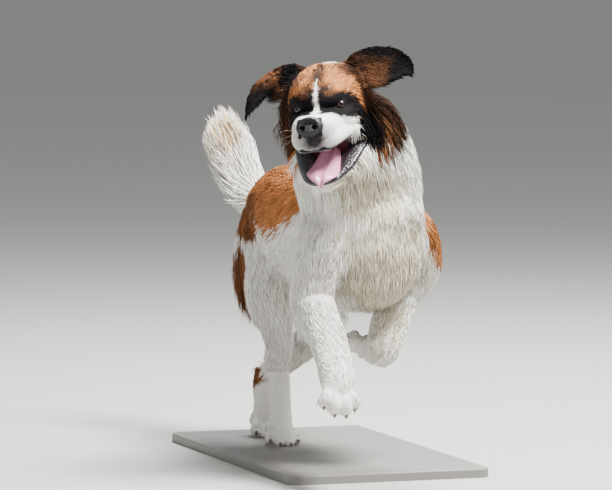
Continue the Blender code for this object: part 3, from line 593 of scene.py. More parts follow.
def head_shapes(bm):
    """The head's flesh before its lids."""
    depth = DEPTH["head"]
    loft(bm, thinned(MUZZLE, 0.002), HEAD, sides=28, power=2.6)
    loft(bm, thinned(SKULL, depth), HEAD, sides=28, power=2.2)
    # The throat, and the bridge between the eyes
    ball(bm, (0, 0.108, -0.055), (0.068, 0.066, 0.066), HEAD)
    ball(bm, (0, -0.018, -0.012), (0.030, 0.034, 0.024), HEAD)
    for side in (-1, 1):
        # The cheek, the brow, the bed of the eye and the muzzle's root
        ball(bm, (side * 0.062, 0.092, -0.036), (0.038, 0.058, 0.056), HEAD)
        ball(bm, (side * 0.040, -0.008, 0.024), (0.029, 0.019, 0.014), HEAD,
             Matrix.Rotation(side * 0.3, 4, "Y"))
        ball(bm, (side * 0.052, 0.022, -0.020), (0.036, 0.036, 0.034), HEAD)
        ball(bm, (side * 0.054, 0.000, -0.036), (0.030, 0.050, 0.028), HEAD)
        loft(bm, thinned(sided(FLEW, side), 0.0015), HEAD, sides=16)
    loft(bm, thinned(JAW, depth), LOWER, sides=28, power=2.3)
    for side in (-1, 1):
        loft(bm, thinned(sided(LOWER_LIP, side), 0.001), LOWER, sides=16)
    loft(bm, thinned(EAR_RIGHT, DEPTH["ear"]), HEAD, side=(0, 0.3, 1), sides=24, cup=0.18)
    loft(bm, thinned(EAR_LEFT, DEPTH["ear"]), HEAD, side=(0, 0.5, 1), sides=24, cup=0.18)
    loft(bm, thinned(NECK[3:], DEPTH["neck"] + 0.004), GROUND, sides=24)


def head_skin():
    """The head with its lids, and the two eyes' places."""
    rough = bmesh.new()
    head_shapes(rough)
    plain = fused("plain_head", rough, voxel=0.004, rounds=9)
    finder = BVHTree.FromObject(plain, bpy.context.evaluated_depsgraph_get())
    eyes = [eye_place(finder, side) for side in (-1, 1)]
    bpy.data.objects.remove(plain)
    bm = bmesh.new()
    head_shapes(bm)
    for side, (centre, facing) in zip((-1, 1), eyes):
        lid(bm, centre, facing, side, lift=60, thick=0.0034)
        lid(bm, centre, facing, side, lift=-56, thick=0.0030)
    return fused("skin", bm, voxel=0.0021, rounds=4), eyes


def one_skin():
    """Head, body and lower legs fused to one closed skin."""
    skin, eyes = head_skin()
    for other in (body_skin(), legs_skin()):
        combined(skin, "UNION", other)
    skin.data.calc_loop_triangles()
    modified(skin, "DECIMATE", ratio=SKIN_TRIANGLES / len(skin.data.loop_triangles))
    shade(skin.data, True)
    return skin, eyes


# The lie of the coat. Each limb's hair runs along its line: sign -1 turns it back towards the line's start.
# Then the hair's length at shares of the line, the spacing and width of its tufts, how many rings a tuft has,
# its lift off the skin in degrees, how far it sags, and the side where it hangs in a longer fringe.
LEG_LENGTHS = ((0, 0.044), (0.25, 0.038), (0.5, 0.028), (0.75, 0.018), (0.9, 0.011), (1, 0.008))
FORELEG_COAT = dict(lengths=LEG_LENGTHS, spacing=0.0038, width=0.0026, rings=2, lift=15, sag=0.10,
                    fringe=((0, 1, -0.2), 1.5))
HINDLEG_COAT = dict(lengths=LEG_LENGTHS, spacing=0.0042, width=0.0028, rings=2, lift=15, sag=0.25,
                    fringe=((0, 1, 0), 1.2))
EAR_COAT = dict(spacing=0.0028, width=0.0022, rings=2, lift=16, fringe=((0, 0, -1), 0.8))
COATS = {
    "torso": dict(line=TORSO, lengths=((0, 0.054), (0.25, 0.050), (0.40, 0.042), (0.85, 0.044), (1, 0.054)),
                  spacing=0.0050, width=0.0030, rings=3, lift=13, sag=0.45, fringe=((0, 0, -1), 0.5)),
    "neck": dict(line=NECK, sign=-1, lengths=((0, 0.054), (0.3, 0.060), (0.8, 0.056), (1, 0.044)),
                 spacing=0.0046, width=0.0030, rings=3, lift=16, sag=0.6, fringe=((0, -1, -0.3), 0.2)),
    "tail": dict(line=TAIL, lengths=((0, 0.045), (0.2, 0.085), (0.7, 0.088), (1, 0.066)),
                 spacing=0.0042, width=0.0036, rings=4, lift=32, sag=0.10, fringe=((0, -1, 0.2), 0.25)),
    "foreleg_right": dict(FORELEG_COAT, line=FORELEG_RIGHT),
    "foreleg_left": dict(FORELEG_COAT, line=FORELEG_LEFT),
    "hindleg_right": dict(HINDLEG_COAT, line=THIGH_RIGHT + SHANK_RIGHT),
    "hindleg_left": dict(HINDLEG_COAT, line=THIGH_LEFT + SHANK_LEFT),
    "head": dict(line=MUZZLE[:4] + SKULL[3:],
                 lengths=((0, 0.005), (0.25, 0.006), (0.42, 0.009), (0.55, 0.015), (0.75, 0.026), (1, 0.040)),
                 spacing=0.0024, width=0.0019, rings=2, lift=14, sag=0.15, fringe=((0, 1, -0.6), 0.5)),
    "jaw": dict(line=JAW, lengths=((0, 0.006), (0.4, 0.012), (1, 0.030)),
                spacing=0.0030, width=0.0022, rings=2, lift=15, sag=0.3, fringe=((0, 0.5, -1), 0.5)),
    "ear_right": dict(EAR_COAT, line=EAR_RIGHT, lengths=((0, 0.026), (0.4, 0.016), (1, 0.014)), sag=0.30),
    "ear_left": dict(EAR_COAT, line=EAR_LEFT, lengths=((0, 0.026), (0.4, 0.016), (1, 0.012)), sag=0.25),
}
HEAD_PARTS = ("head", "ear_right", "ear_left")
# Coats in a left and a right piece, so that each stays under 200,000 triangles
PARTED = ("torso", "neck", "head")


def limb_line(name):
    """A limb's line as arrays: centres, directions, radii, shares of its length, and the directions of a
    section."""
    coat = COATS[name]
    matrix = HEAD if name in HEAD_PARTS else LOWER if name == "jaw" else GROUND
    turn = matrix.to_3x3()
    side = (0, 0.4, 1) if name.startswith("ear") else (1, 0, 0)
    rows = [(matrix @ centre, turn @ along, turn @ across, turn @ depth, max(row[3:]))
            for row, centre, along, across, depth in sections(coat["line"], 5, side)]
    if name in PAWS:
        paw = paw_frame(*PAWS[name])
        ways = [paw.to_3x3() @ Vector(axis) for axis in ((0, 1, 0), (1, 0, 0), (0, 0, 1))]
        rows += [(paw @ Vector((0, reach, 0)), *ways, max(Vector(PAW_HALVES)))
                 for reach in (0.01, 0.03, 0.05, 0.07)]
    centres, along, across, depth, radii = zip(*rows)
    return (np.array(centres), np.array(along) * coat.get("sign", 1), np.array(radii),
            np.linspace(0, 1, len(centres)), np.array(across), np.array(depth))


LINES = {name: limb_line(name) for name in COATS}


def lie_of(points):
    """For each point: the limb it belongs to, the run of the hair, its length, its share along the limb and
    its turn round it."""
    nearest, picks = [], []
    for centres, _, radii, _, _, _ in LINES.values():
        gaps = np.linalg.norm(points[:, None, :] - centres[None], axis=2) / radii
        picks.append(gaps.argmin(axis=1))
        nearest.append(gaps.min(axis=1))
    nearest = np.array(nearest)
    limb = nearest.argmin(axis=0)
    weights = np.exp(-LIMB_BLEND * (nearest - nearest.min(axis=0)))
    weights /= weights.sum(axis=0)
    run, lengths = np.zeros_like(points), np.zeros(len(points))
    shares, turns = np.zeros(len(points)), np.zeros(len(points))
    for i, (name, coat) in enumerate(COATS.items()):
        centres, along, _, share, across, depth = LINES[name]
        pick = picks[i]
        way = along[pick] + np.array((0, 0, -coat["sag"]))
        if name == "torso":
            # On the forechest the hair falls straight down, and turns back along the ribs behind the shoulder
            front = np.clip((-0.16 - points[:, 1]) / 0.12, 0, 1)[:, None]
            way = way * (1 - front) + np.array((0, 0.15, -1.0)) * front
        run += weights[i][:, None] * way
        xs, ys = zip(*coat["lengths"])
        lengths += weights[i] * np.interp(share[pick], xs, ys)
        mine = limb == i
        offset = points - centres[pick]
        turn = np.arctan2((offset * depth[pick]).sum(axis=1), (offset * across[pick]).sum(axis=1))
        shares[mine] = share[pick][mine]
        turns[mine] = turn[mine] / (2 * np.pi) + 0.5
    return limb, run, lengths, shares, turns


# How the tufts vary. Their length, width and lift are multiplied by a number between these.
LENGTH_SPREAD = (0.75, 1.2)
WIDTH_SPREAD = (0.75, 1.25)
LIFT_SPREAD = (0.6, 1.5)
# How far a tuft strays sideways and how far it waves, as shares of its run, and where its wave may start
STRAY = 0.10
WAVE = 0.22
WAVE_PHASES = 6.28
SHORTEST_HAIR = 0.0030
# A tuft's width at shares of its length
TUFT_TAPER = ((0, 0.3, 0.7, 1), (0.75, 1.0, 0.72, 0.0))
# The patch that a tuft takes on the map: across and along
MAP_PATCH = (0.0015, 0.003)
# How sharply one limb's hair gives way to the next one's
LIMB_BLEND = 9
# No hair grows this close to the eyeball
BARE_LID = 0.0048
# The share of tufts on the legs that is soiled, and what that leaves of their colour
SOILED_SHARE = 0.03
SOIL = (0.74, 0.68, 0.60)

# Where the hair is longer than its limb's: frame, centre, radii, length to add, lift to add in degrees
LONG_HAIR = [
    ("head", (0.105, 0.105, -0.010), (0.060, 0.055, 0.080), 0.020, 8),
    ("head", (-0.105, 0.100, -0.005), (0.060, 0.055, 0.080), 0.030, 14),
    ("head", (-0.100, 0.085, 0.015), (0.050, 0.060, 0.065), 0.020, 32),
    ("head", (0.050, -0.020, 0.000), (0.034, 0.040, 0.028), -0.005, -5),
    ("head", (-0.050, -0.020, 0.000), (0.034, 0.040, 0.028), -0.005, -5),
    ("head", (0, 0.060, 0.110), (0.090, 0.080, 0.040), 0.006, 10),
    ("head", (0.070, -0.010, -0.075), (0.060, 0.110, 0.050), -0.022, -10),
    ("head", (-0.070, -0.010, -0.075), (0.060, 0.110, 0.050), -0.022, -10),
    ("body", (-0.09, 0.345, 0.420), (0.09, 0.080, 0.140), 0.058, 16),
    ("body", (0.09, 0.345, 0.440), (0.09, 0.080, 0.130), 0.045, 10),
    ("body", (-0.150, -0.290, 0.400), (0.06, 0.060, 0.090), 0.020, 8),
    ("body", (0.140, -0.200, 0.400), (0.06, 0.060, 0.090), 0.020, 8),
    ("body", (0, -0.430, 0.430), (0.13, 0.090, 0.120), 0.010, 0),
    ("body", (0, -0.430, 0.620), (0.17, 0.120, 0.130), 0, -6),
]

# Hair colours, sRGB
CREAM = "F4F1EB"
# A duller cream, used for the coat's own mottling and as painted shade on the forechest and under the chin
DULL_CREAM_AND_SHADE = "CFC5AF"
ORANGE = "AC6E3E"
CHESTNUT = "7A4E32"
UMBER = "2E1C10"
BARK = "4A2D1C"
SOOT = "0D0B0C"
TAN = "D6BC98"
GREY = "2E2A2D"
# Bare black skin, and the mouth's inside
LEATHER = "151012"
PALATE = "4A2226"

# Patches of colour, painted in this order: colour, the head's frame or the body's, centre, radii, softness
PATCHES = [
    # The mantle over the back, its step down each shoulder, the rump and the thighs' backs
    (ORANGE, "body", (0.00, 0.03, 0.685), (0.26, 0.31, 0.155), 0.16),
    (ORANGE, "body", (0.17, -0.25, 0.600), (0.10, 0.15, 0.125), 0.18),
    (CHESTNUT, "body", (-0.10, 0.24, 0.590), (0.08, 0.11, 0.060), 0.30),
    (CHESTNUT, "body", (-0.11, 0.300, 0.420), (0.075, 0.075, 0.105), 0.25),
    (CHESTNUT, "body", (0.12, 0.310, 0.430), (0.075, 0.075, 0.095), 0.25),
    (CHESTNUT, "body", (-0.045, 0.400, 0.150), (0.04, 0.035, 0.030), 0.30),
    (TAN, "body", (-0.085, 0.500, 0.730), (0.04, 0.050, 0.050), 1.60),
    # Painted shade: the lower forechest and the throat under the chin are darker where the head's shadow falls
    (DULL_CREAM_AND_SHADE, "body", (0.02, -0.44, 0.480), (0.13, 0.120, 0.190), 0.90),
    (DULL_CREAM_AND_SHADE, "body", (-0.05, -0.52, 0.690), (0.12, 0.120, 0.110), 0.90),
    # The head's rust cap and cheeks, darker towards the ears
    (ORANGE, "head", (0, 0.055, 0.030), (0.145, 0.105, 0.110), 0.14),
    (ORANGE, "head", (-0.100, 0.080, -0.030), (0.055, 0.070, 0.085), 0.30),
    (CHESTNUT, "head", (0.104, 0.095, -0.015), (0.050, 0.065, 0.085), 1.00),
    (CHESTNUT, "head", (-0.112, 0.110, -0.015), (0.050, 0.055, 0.090), 1.00),
    (UMBER, "head", (0.122, 0.130, 0.000), (0.05, 0.055, 0.085), 1.40),
    (BARK, "head", (-0.115, 0.125, -0.010), (0.05, 0.055, 0.080), 1.40),
    (UMBER, "head", (0.002, 0.008, 0.066), (0.020, 0.060, 0.034), 1.00),
    (BARK, "head", (0.060, 0.050, 0.080), (0.030, 0.050, 0.036), 1.80),
    (BARK, "head", (-0.050, 0.030, 0.060), (0.034, 0.050, 0.026), 1.80),
    (CREAM, "head", (0.012, 0.075, 0.112), (0.020, 0.040, 0.022), 0.30),
    # The ears: near black, rusty along the upper edge and in the middle of the flap
    (UMBER, "head", (-0.145, 0.070, 0.060), (0.125, 0.060, 0.115), 0.20),
    (CHESTNUT, "head", (-0.150, 0.055, 0.100), (0.050, 0.040, 0.020), 2.20),
    (BARK, "head", (-0.120, 0.070, 0.065), (0.030, 0.050, 0.014), 1.60),
    (SOOT, "head", (-0.085, 0.070, 0.095), (0.026, 0.050, 0.040), 0.80),
    (SOOT, "head", (-0.150, 0.060, 0.040), (0.036, 0.050, 0.028), 0.80),
    (SOOT, "head", (-0.205, 0.055, 0.010), (0.036, 0.050, 0.060), 0.60),
    (UMBER, "head", (0.150, 0.075, 0.080), (0.125, 0.060, 0.115), 0.20),
    (BARK, "head", (0.110, 0.070, 0.065), (0.040, 0.050, 0.036), 1.20),
    (SOOT, "head", (0.205, 0.060, 0.070), (0.050, 0.060, 0.060), 0.60),
    (SOOT, "head", (0.140, 0.080, 0.145), (0.090, 0.050, 0.038), 0.60),
    # The black mask round each eye, down to the mouth's corners
    (SOOT, "head", (0.047, -0.018, -0.005), (0.055, 0.054, 0.037), 0.22),
    (SOOT, "head", (-0.049, -0.018, -0.007), (0.057, 0.054, 0.040), 0.22),
    (SOOT, "head", (0.022, -0.020, 0.020), (0.026, 0.050, 0.034), 0.50),
    (SOOT, "head", (-0.022, -0.020, 0.018), (0.026, 0.050, 0.034), 0.50),
    (SOOT, "head", (0.016, -0.040, -0.012), (0.022, 0.050, 0.016), 0.40),
    (SOOT, "head", (-0.018, -0.040, -0.014), (0.022, 0.050, 0.018), 0.40),
    (CHESTNUT, "head", (0.030, -0.005, 0.032), (0.012, 0.040, 0.010), 1.60),
    (CHESTNUT, "head", (-0.030, -0.005, 0.030), (0.012, 0.040, 0.010), 1.60),
    (SOOT, "head", (-0.066, -0.024, -0.034), (0.024, 0.052, 0.034), 0.40),
    (SOOT, "head", (0.092, 0.045, -0.044), (0.026, 0.050, 0.046), 0.40),
    (BARK, "head", (-0.092, 0.050, -0.044), (0.026, 0.050, 0.046), 1.60),
    # The white blaze and muzzle
    (CREAM, "head", (0, -0.030, 0.022), (0.0030, 0.060, 0.042), 0.30),
    (CREAM, "head", (0, -0.050, -0.014), (0.0075, 0.050, 0.022), 0.30),
    (CREAM, "head", (0.004, -0.112, -0.069), (0.066, 0.058, 0.052), 0.12),
    (CREAM, "head", (0.066, -0.028, -0.060), (0.034, 0.062, 0.020), 0.16),
    (CREAM, "head", (-0.058, -0.068, -0.082), (0.030, 0.050, 0.026), 0.16),
    (GREY, "head", (0.008, -0.140, -0.084), (0.046, 0.048, 0.034), 1.30),
]
# A patch's edge wanders: by which share of its radius, in ripples of which size
EDGE_RIPPLES = ((0.10, 0.050), (0.06, 0.017))
RIPPLE_WAYS = ((1.0, 0.3, -0.5), (-0.4, 1.0, 0.6), (0.5, -0.7, 1.0), (0.9, 0.8, 0.2), (-1.1, 0.4, 0.9))
# The head's patches colour nothing further than this along any of its axes
HEAD_LIMIT = 0.27


def unit(vectors):
    """The same directions, one metre long."""
    return vectors / np.maximum(np.linalg.norm(vectors, axis=1), 1e-9)[:, None]


def local(matrix, points):
    """The points in another frame."""
    inverse = np.array(matrix.inverted())
    return points @ inverse[:3, :3].T + inverse[:3, 3]


def local_outs(matrix, outs):
    """The directions in another frame."""
    return outs @ unit(np.array(matrix.inverted())[:3, :3].T)


def in_frames(points):
    """The points in the head's frame and above the foot level."""
    return {"head": local(HEAD, points), "body": points - np.array((0, 0, FOOT_LEVEL))}


def reach_of(places, centre, radii):
    """How far each point lies from a patch's centre: 1 at the patch's edge."""
    return np.linalg.norm((places - np.array(centre)) / np.array(radii), axis=1)


def ripple(points, size):
    """A smooth wandering value about 0, of a given size of ripple."""
    total = np.zeros(len(points))
    for k, way in enumerate(RIPPLE_WAYS):
        phase = 1.7 * k + 0.6
        total += np.sin((points @ np.array(way)) * (2 * np.pi / size) * (1 + 0.37 * k) + phase)
    return total / len(RIPPLE_WAYS)


def tinted(colour, tint, cover):
    """The colour turned to a tint as far as the tint covers it."""
    return colour + (np.array(linear(tint)) - colour) * cover[:, None]


def markings(points, chance=None):
    """The coat's colour at each place. Where a patch is soft, each lock has one colour or the other by its
    chance."""
    places = in_frames(points)
    wander = sum(share * ripple(points, size) for share, size in EDGE_RIPPLES)
    colour = np.tile(np.array(linear(CREAM)), (len(points), 1))
    # The whole coat is dulled a little in wandering ripples, as the coat's own mottling
    colour = tinted(colour, DULL_CREAM_AND_SHADE, 0.30 * (0.5 + 0.5 * ripple(points, 0.14)))
    for tint, where, centre, radii, soft in PATCHES:
        reach = reach_of(places[where], centre, radii) + wander
        cover = np.clip((1 - reach) / soft + 0.5, 0, 1)
        if chance is not None:
            cover = np.clip((cover - 0.1 - 0.8 * chance) * 6 + 0.5, 0, 1)
        if where == "head":
            cover *= (np.abs(places["head"]) < HEAD_LIMIT).all(axis=1)
        colour = tinted(colour, tint, cover)
    return colour


def paint(mesh, layer, colours):
    """Writes one linear colour to each point of the mesh."""
    tone = mesh.color_attributes.new(layer, "FLOAT_COLOR", "POINT")
    tone.data.foreach_set("color", np.concatenate([colours, np.ones((len(colours), 1))], axis=1).reshape(-1))


def points_and_outs(mesh):
    """Arrays of the mesh's points and of the directions out of it."""
    points = np.empty(len(mesh.vertices) * 3, np.float32)
    mesh.vertices.foreach_get("co", points)
    outs = np.empty(len(mesh.vertices) * 3, np.float32)
    mesh.vertex_normals.foreach_get("vector", outs)
    return points.reshape(-1, 3), outs.reshape(-1, 3)


def skin_arrays(skin):
    """The skin as arrays: points, directions out of it, its triangles' corners and their areas."""
    mesh = skin.data
    mesh.calc_loop_triangles()
    points, outs = points_and_outs(mesh)
    corners = np.empty(len(mesh.loop_triangles) * 3, np.int32)
    mesh.loop_triangles.foreach_get("vertices", corners)
    corners = corners.reshape(-1, 3)
    a, b, c = points[corners[:, 0]], points[corners[:, 1]], points[corners[:, 2]]
    areas = np.linalg.norm(np.cross(b - a, c - a), axis=1) / 2
    return points, outs, corners, areas


def bare(points, outs, eyes):
    """Where no hair grows: inside the mouth, on the nose, at the eyes and on the pads. Then the mouth
    alone."""
    head, up = local(HEAD, points), local_outs(HEAD, outs)
    x, y, z = head.T
    # The mouth opens about a line that runs forward and down from its corners
    corner_y, corner_z = MOUTH_CORNER
    middle = corner_z - MOUTH_SLOPE * (corner_y - y)
    half = 0.014 + MOUTH_GAPE * np.clip(corner_y - y, 0, 1)
    inward = -up[:, 0] * x + up[:, 2] * (middle - z)
    mouth = ((np.abs(x) < 0.090) & (y > -0.128) & (y < 0.098) & (np.abs(z - middle) < half)
             & (inward > 0.25 * np.hypot(x, middle - z)))
    mouth |= (np.abs(x) < 0.064 + 0.24 * y) & (y > -0.068) & (y < 0.092) & (np.abs(z - middle) < 0.9 * half)
    # The nose's leather
    hidden = mouth | ((np.abs(x) < 0.031) & (y < -0.118) & (np.abs(z + 0.051) < 0.023))
    for centre, _ in eyes:
        hidden |= np.linalg.norm(points - np.array(centre), axis=1) < EYE_RADIUS + BARE_LID
    for paw in PAWS.values():
        matrix = paw_frame(*paw)
        across, along, over = local(matrix, points).T
        hidden |= ((np.abs(across) < 0.042) & (along > 0) & (along < 0.085) & (over < -0.0165)
                   & (over > -0.035) & (local_outs(matrix, outs)[:, 2] < -0.25))
    return hidden, mouth


def sow(arrays, tri_limb, limb, spacing, rng):
    """Scatters roots over one limb's skin, one for each square of the spacing."""
    points, normals, corners, areas = arrays
    mine = np.flatnonzero(tri_limb == limb)
    reach = np.cumsum(areas[mine])
    count = int(reach[-1] / spacing ** 2)
    picks = (np.arange(count) + rng.random(count)) / count * reach[-1]
    tri = mine[np.searchsorted(reach, picks).clip(0, len(mine) - 1)]
    u, v = rng.random(count), rng.random(count)
    flip = u + v > 1
    u[flip], v[flip] = 1 - u[flip], 1 - v[flip]
    weights = np.stack([1 - u - v, u, v], axis=1)[:, :, None]
    roots = (points[corners[tri]] * weights).sum(axis=1)
    outs = (normals[corners[tri]] * weights).sum(axis=1)
    return roots, outs / np.linalg.norm(outs, axis=1)[:, None]


def longer_hair(roots):
    """What the long patches add to the hair's length and lift at each root."""
    places = in_frames(roots)
    longer, higher = np.zeros(len(roots)), np.zeros(len(roots))
    for where, centre, radii, length, lift in LONG_HAIR:
        cover = np.clip((1 - reach_of(places[where], centre, radii)) / 0.5, 0, 1)
        longer += length * cover
        higher += lift * cover
    return longer, higher


def gathered(roots, runs, lengths, share, pull, rng):
    """Turns each tuft towards its lock's tip, so that the hair falls in locks. share is how many tufts lead
    one."""
    count = max(int(len(roots) * share), 1)
    chosen = rng.choice(len(roots), count, replace=False)
    tree = KDTree(count)
    for i, pick in enumerate(chosen):
        tree.insert(roots[pick], i)
    tree.balance()
    lock = np.array([tree.find(root)[1] for root in roots])
    tips = (roots + runs * lengths[:, None])[chosen][lock]
    return unit(runs * (1 - pull) + unit(tips - roots) * pull), lock


def combed(name, roots, outs, rng):
    """How each tuft of one limb lies, and the number of its lock."""
    coat, count = COATS[name], len(roots)
    _, runs, lengths, shares, turns = lie_of(roots)
    runs = unit(runs - outs * (runs * outs).sum(axis=1)[:, None])
    way, more = coat["fringe"]
    if name in HEAD_PARTS:
        hanging = outs @ np.array((HEAD.to_3x3() @ Vector(way)).normalized())
    else:
        hanging = outs @ unit(np.array([way], float))[0]
    lengths = lengths * (1 + more * np.clip(hanging, 0, 1) ** 2) * rng.uniform(*LENGTH_SPREAD, count)
    longer, higher = longer_hair(roots)
    lengths = np.maximum(lengths + longer, SHORTEST_HAIR)
    runs, lock = gathered(roots, runs, lengths, share=0.09, pull=0.45, rng=rng)
    stray = rng.normal(0, STRAY, count)
    runs = unit(runs + np.cross(runs, outs) * stray[:, None])
    widths = coat["width"] * rng.uniform(*WIDTH_SPREAD, count)
    lifts = np.radians(coat["lift"] + higher) * rng.uniform(*LIFT_SPREAD, count)
    waves = np.stack([rng.uniform(-WAVE, WAVE, lock.max() + 1)[lock],
                      rng.uniform(0, WAVE_PHASES, lock.max() + 1)[lock]], axis=1)
    return dict(roots=roots, outs=outs, runs=runs, lengths=lengths, widths=widths, lifts=lifts, waves=waves,
                shares=shares, turns=turns), lock


def coloured(name, roots, lock, rng):
    """Each tuft's colour at its root and at its tip, varied from lock to lock and from tuft to tuft."""
    count, locks = len(roots), lock.max() + 1
    chance = rng.random(locks)[lock] * 0.7 + rng.random(count) * 0.3
    colour = markings(roots, chance)
    # Dark hair varies more than white hair
    vivid = 1.4 - colour.mean(axis=1)
    tone = 1 + 0.15 * vivid * rng.normal(0, 1, locks)[lock] + 0.08 * vivid * rng.normal(0, 1, count)
    tone = np.clip(tone, 0.6, 1.5)[:, None]
    if name in PAWS:
        soiled = rng.random(count) < SOILED_SHARE
        colour[soiled] *= np.array(SOIL)
    pale = colour.mean(axis=1, keepdims=True)
    low = colour * tone * (0.76 + 0.14 * pale)
    high = np.clip(colour * tone * (1.12 - 0.06 * pale), 0, 0.94)
    return dict(low=low, high=high)


def tuft_faces(rings):
    """The triangles of one tuft: its end, the wall from ring to ring and its point."""
    faces = [(0, 2, 1)]
    for k in range(rings - 1):
        a, b = 3 * k, 3 * k + 3
        for i in range(3):
            j = (i + 1) % 3
            faces += [(a + i, a + j, b + j), (a + i, b + j, b + i)]
    last, tip = 3 * (rings - 1), 3 * rings
    faces += [(last + i, last + (i + 1) % 3, tip) for i in range(3)]
    return np.array(faces)


def tuft_rows(rings, sag, roots, outs, runs, lengths, widths, lifts, waves, low, high):
    """The rings of all tufts as they bend up off the skin and sag, and their colours."""
    sides = unit(np.cross(runs, outs))
    steps = np.linspace(0, 1, rings + 1)
    taper = np.interp(steps, *TUFT_TAPER)
    # A tuft starts just under the skin and a little behind its root
    place = roots - outs * 0.0015 - runs * 0.001
    rows, colours = [], []
    for k, step in enumerate(steps):
        if k:
            # Its lift falls from ring to ring, while it sags and waves
            angle = lifts * (1.15 - 1.5 * (steps[k - 1] + step) / 2)
            way = runs * np.cos(angle)[:, None] + outs * np.sin(angle)[:, None]
            way[:, 2] -= sag * step * 0.35
            way += sides * (waves[:, 0] * np.cos(waves[:, 1] + step * 5.0))[:, None]
            place = place + unit(way) * (lengths / rings)[:, None]
        half = (widths * taper[k] / 2)[:, None]
        ring = [place]
        if k < rings:
            ring = [place - sides * half - outs * half * 0.2, place + outs * half * 0.55,
                    place + sides * half - outs * half * 0.2]
        rows.append(np.stack(ring, axis=1))
        tint = low * (1 - step) + high * step
        colours.append(np.repeat(tint[:, None], len(ring), axis=1))
    return np.concatenate(rows, axis=1), np.concatenate(colours, axis=1)


def tuft_mesh(name, coat, shares, turns, **tufts):
    """All the tufts of one piece: flat three-sided blades of a few rings that taper to a point."""
    rings = coat["rings"]
    points, tints = tuft_rows(rings, coat["sag"], **tufts)
    count, each = points.shape[:2]
    index = (np.arange(count)[:, None, None] * each + tuft_faces(rings)[None]).reshape(-1)
    mesh = bpy.data.meshes.new(name)
    mesh.vertices.add(count * each)
    mesh.vertices.foreach_set("co", points.reshape(-1))
    mesh.loops.add(len(index))
    mesh.loops.foreach_set("vertex_index", index)
    mesh.polygons.add(len(index) // 3)
    mesh.polygons.foreach_set("loop_start", np.arange(0, len(index), 3))
    mesh.polygons.foreach_set("use_smooth", np.ones(len(index) // 3, bool))
    paint(mesh, "Coat", tints.reshape(-1, 3))
    # On the map a tuft is a small patch, placed by its turn round the limb and its share along it
    ring = np.array([*range(3)] * rings + [1])
    step = np.repeat(np.linspace(0, 1, rings + 1), [3] * rings + [1])
    u = turns[:, None] * 0.99 + 0.005 + ((ring - 1) * MAP_PATCH[0])[None]
    v = shares[:, None] * 0.99 + 0.005 + ((step - 0.5) * MAP_PATCH[1])[None]
    patch = np.stack([u, v], axis=2).reshape(-1, 2)
    mesh.uv_layers.new(name="OFBake").data.foreach_set("uv", patch[index].reshape(-1))
    mesh.update()
    return linked(name, mesh)


def grow_coat(skin, eyes, material):
    """Combs the coat over the skin, limb by limb."""
    rng = np.random.default_rng(20)
    arrays = skin_arrays(skin)
    points, _, corners, _ = arrays
    tri_limb = lie_of(points[corners].mean(axis=1))[0]
    made = []
    for i, (name, coat) in enumerate(COATS.items()):
        roots, outs = sow(arrays, tri_limb, i, coat["spacing"], rng)
        furred = ~bare(roots, outs, eyes)[0]
        tufts, lock = combed(name, roots[furred], outs[furred], rng)
        tufts |= coloured(name, tufts["roots"], lock, rng)
        groups = {f"coat_{name}": np.ones(len(lock), bool)}
        if name in PARTED:
            across = tufts["roots"][:, 0]
            left = across > (across.mean() if name != "torso" else 0)
            groups = {f"coat_{name}_left": left, f"coat_{name}_right": ~left}
        for title, group in groups.items():
            piece = tuft_mesh(title, coat, **{key: values[group] for key, values in tufts.items()})
            made.append(clad(piece, material))
    return made


def paint_skin(skin, eyes):
    """The skin carries the coat's own markings, bare black lips and pads, and a dark red mouth."""
    points, outs = (values.astype(float) for values in points_and_outs(skin.data))
    colour = markings(points) * 0.8
    hidden, mouth = bare(points, outs, eyes)
    colour[hidden] = np.array(linear(LEATHER))
    head = local(HEAD, points)
    deep = mouth & (np.abs(head[:, 0]) < 0.046) & (head[:, 1] > -0.085)
    colour[deep] = np.array(linear(PALATE))
    paint(skin.data, "Coat", colour)


def hair_material():
    """Dog's guard hair: keratin, soft and a little glossy along the strand, so it shades as a rough sheen."""
    material = new_material("guard_hair")
    tone = node(material, "ShaderNodeVertexColor", {"layer_name": "Coat"})
    place = node(material, "ShaderNodeTexCoord")
    # Strand streaks, 3 mm across: single hairs are finer than the render shows
    streak = node(material, "ShaderNodeTexNoise", {"Scale": 330.0, "Detail": 3.0, "Roughness": 0.6},
                  Vector=place.outputs["Object"])
    ramp = node(material, "ShaderNodeMapRange", {"To Min": 0.88, "To Max": 1.10}, Value=streak.outputs["Fac"])
    mix = node(material, "ShaderNodeVectorMath", {"operation": "SCALE"},
               Vector=tone.outputs["Color"], Scale=ramp.outputs["Result"])
    return finished(material, node(
        material, "ShaderNodeBsdfPrincipled", {"Roughness": 0.80, "IOR": 1.3, "Specular IOR Level": 0.2},
        Base_Color=mix.outputs["Vector"]))


def skin_material():
    """Skin with its short underfur, a fine felted bump about 1.2 mm across."""
    material = new_material("furred_skin")
    tone = node(material, "ShaderNodeVertexColor", {"layer_name": "Coat"})
    place = node(material, "ShaderNodeTexCoord")
    felt = node(material, "ShaderNodeTexNoise", {"Scale": 800.0, "Detail": 4.0},
                Vector=place.outputs["Object"])
    bump = node(material, "ShaderNodeBump", {"Strength": 0.5, "Distance": 0.0008}, Height=felt.outputs["Fac"])
    return finished(material, node(
        material, "ShaderNodeBsdfPrincipled", {"Roughness": 0.80, "IOR": 1.4, "Specular IOR Level": 0.15},
        Base_Color=tone.outputs["Color"], Normal=bump.outputs["Normal"]))


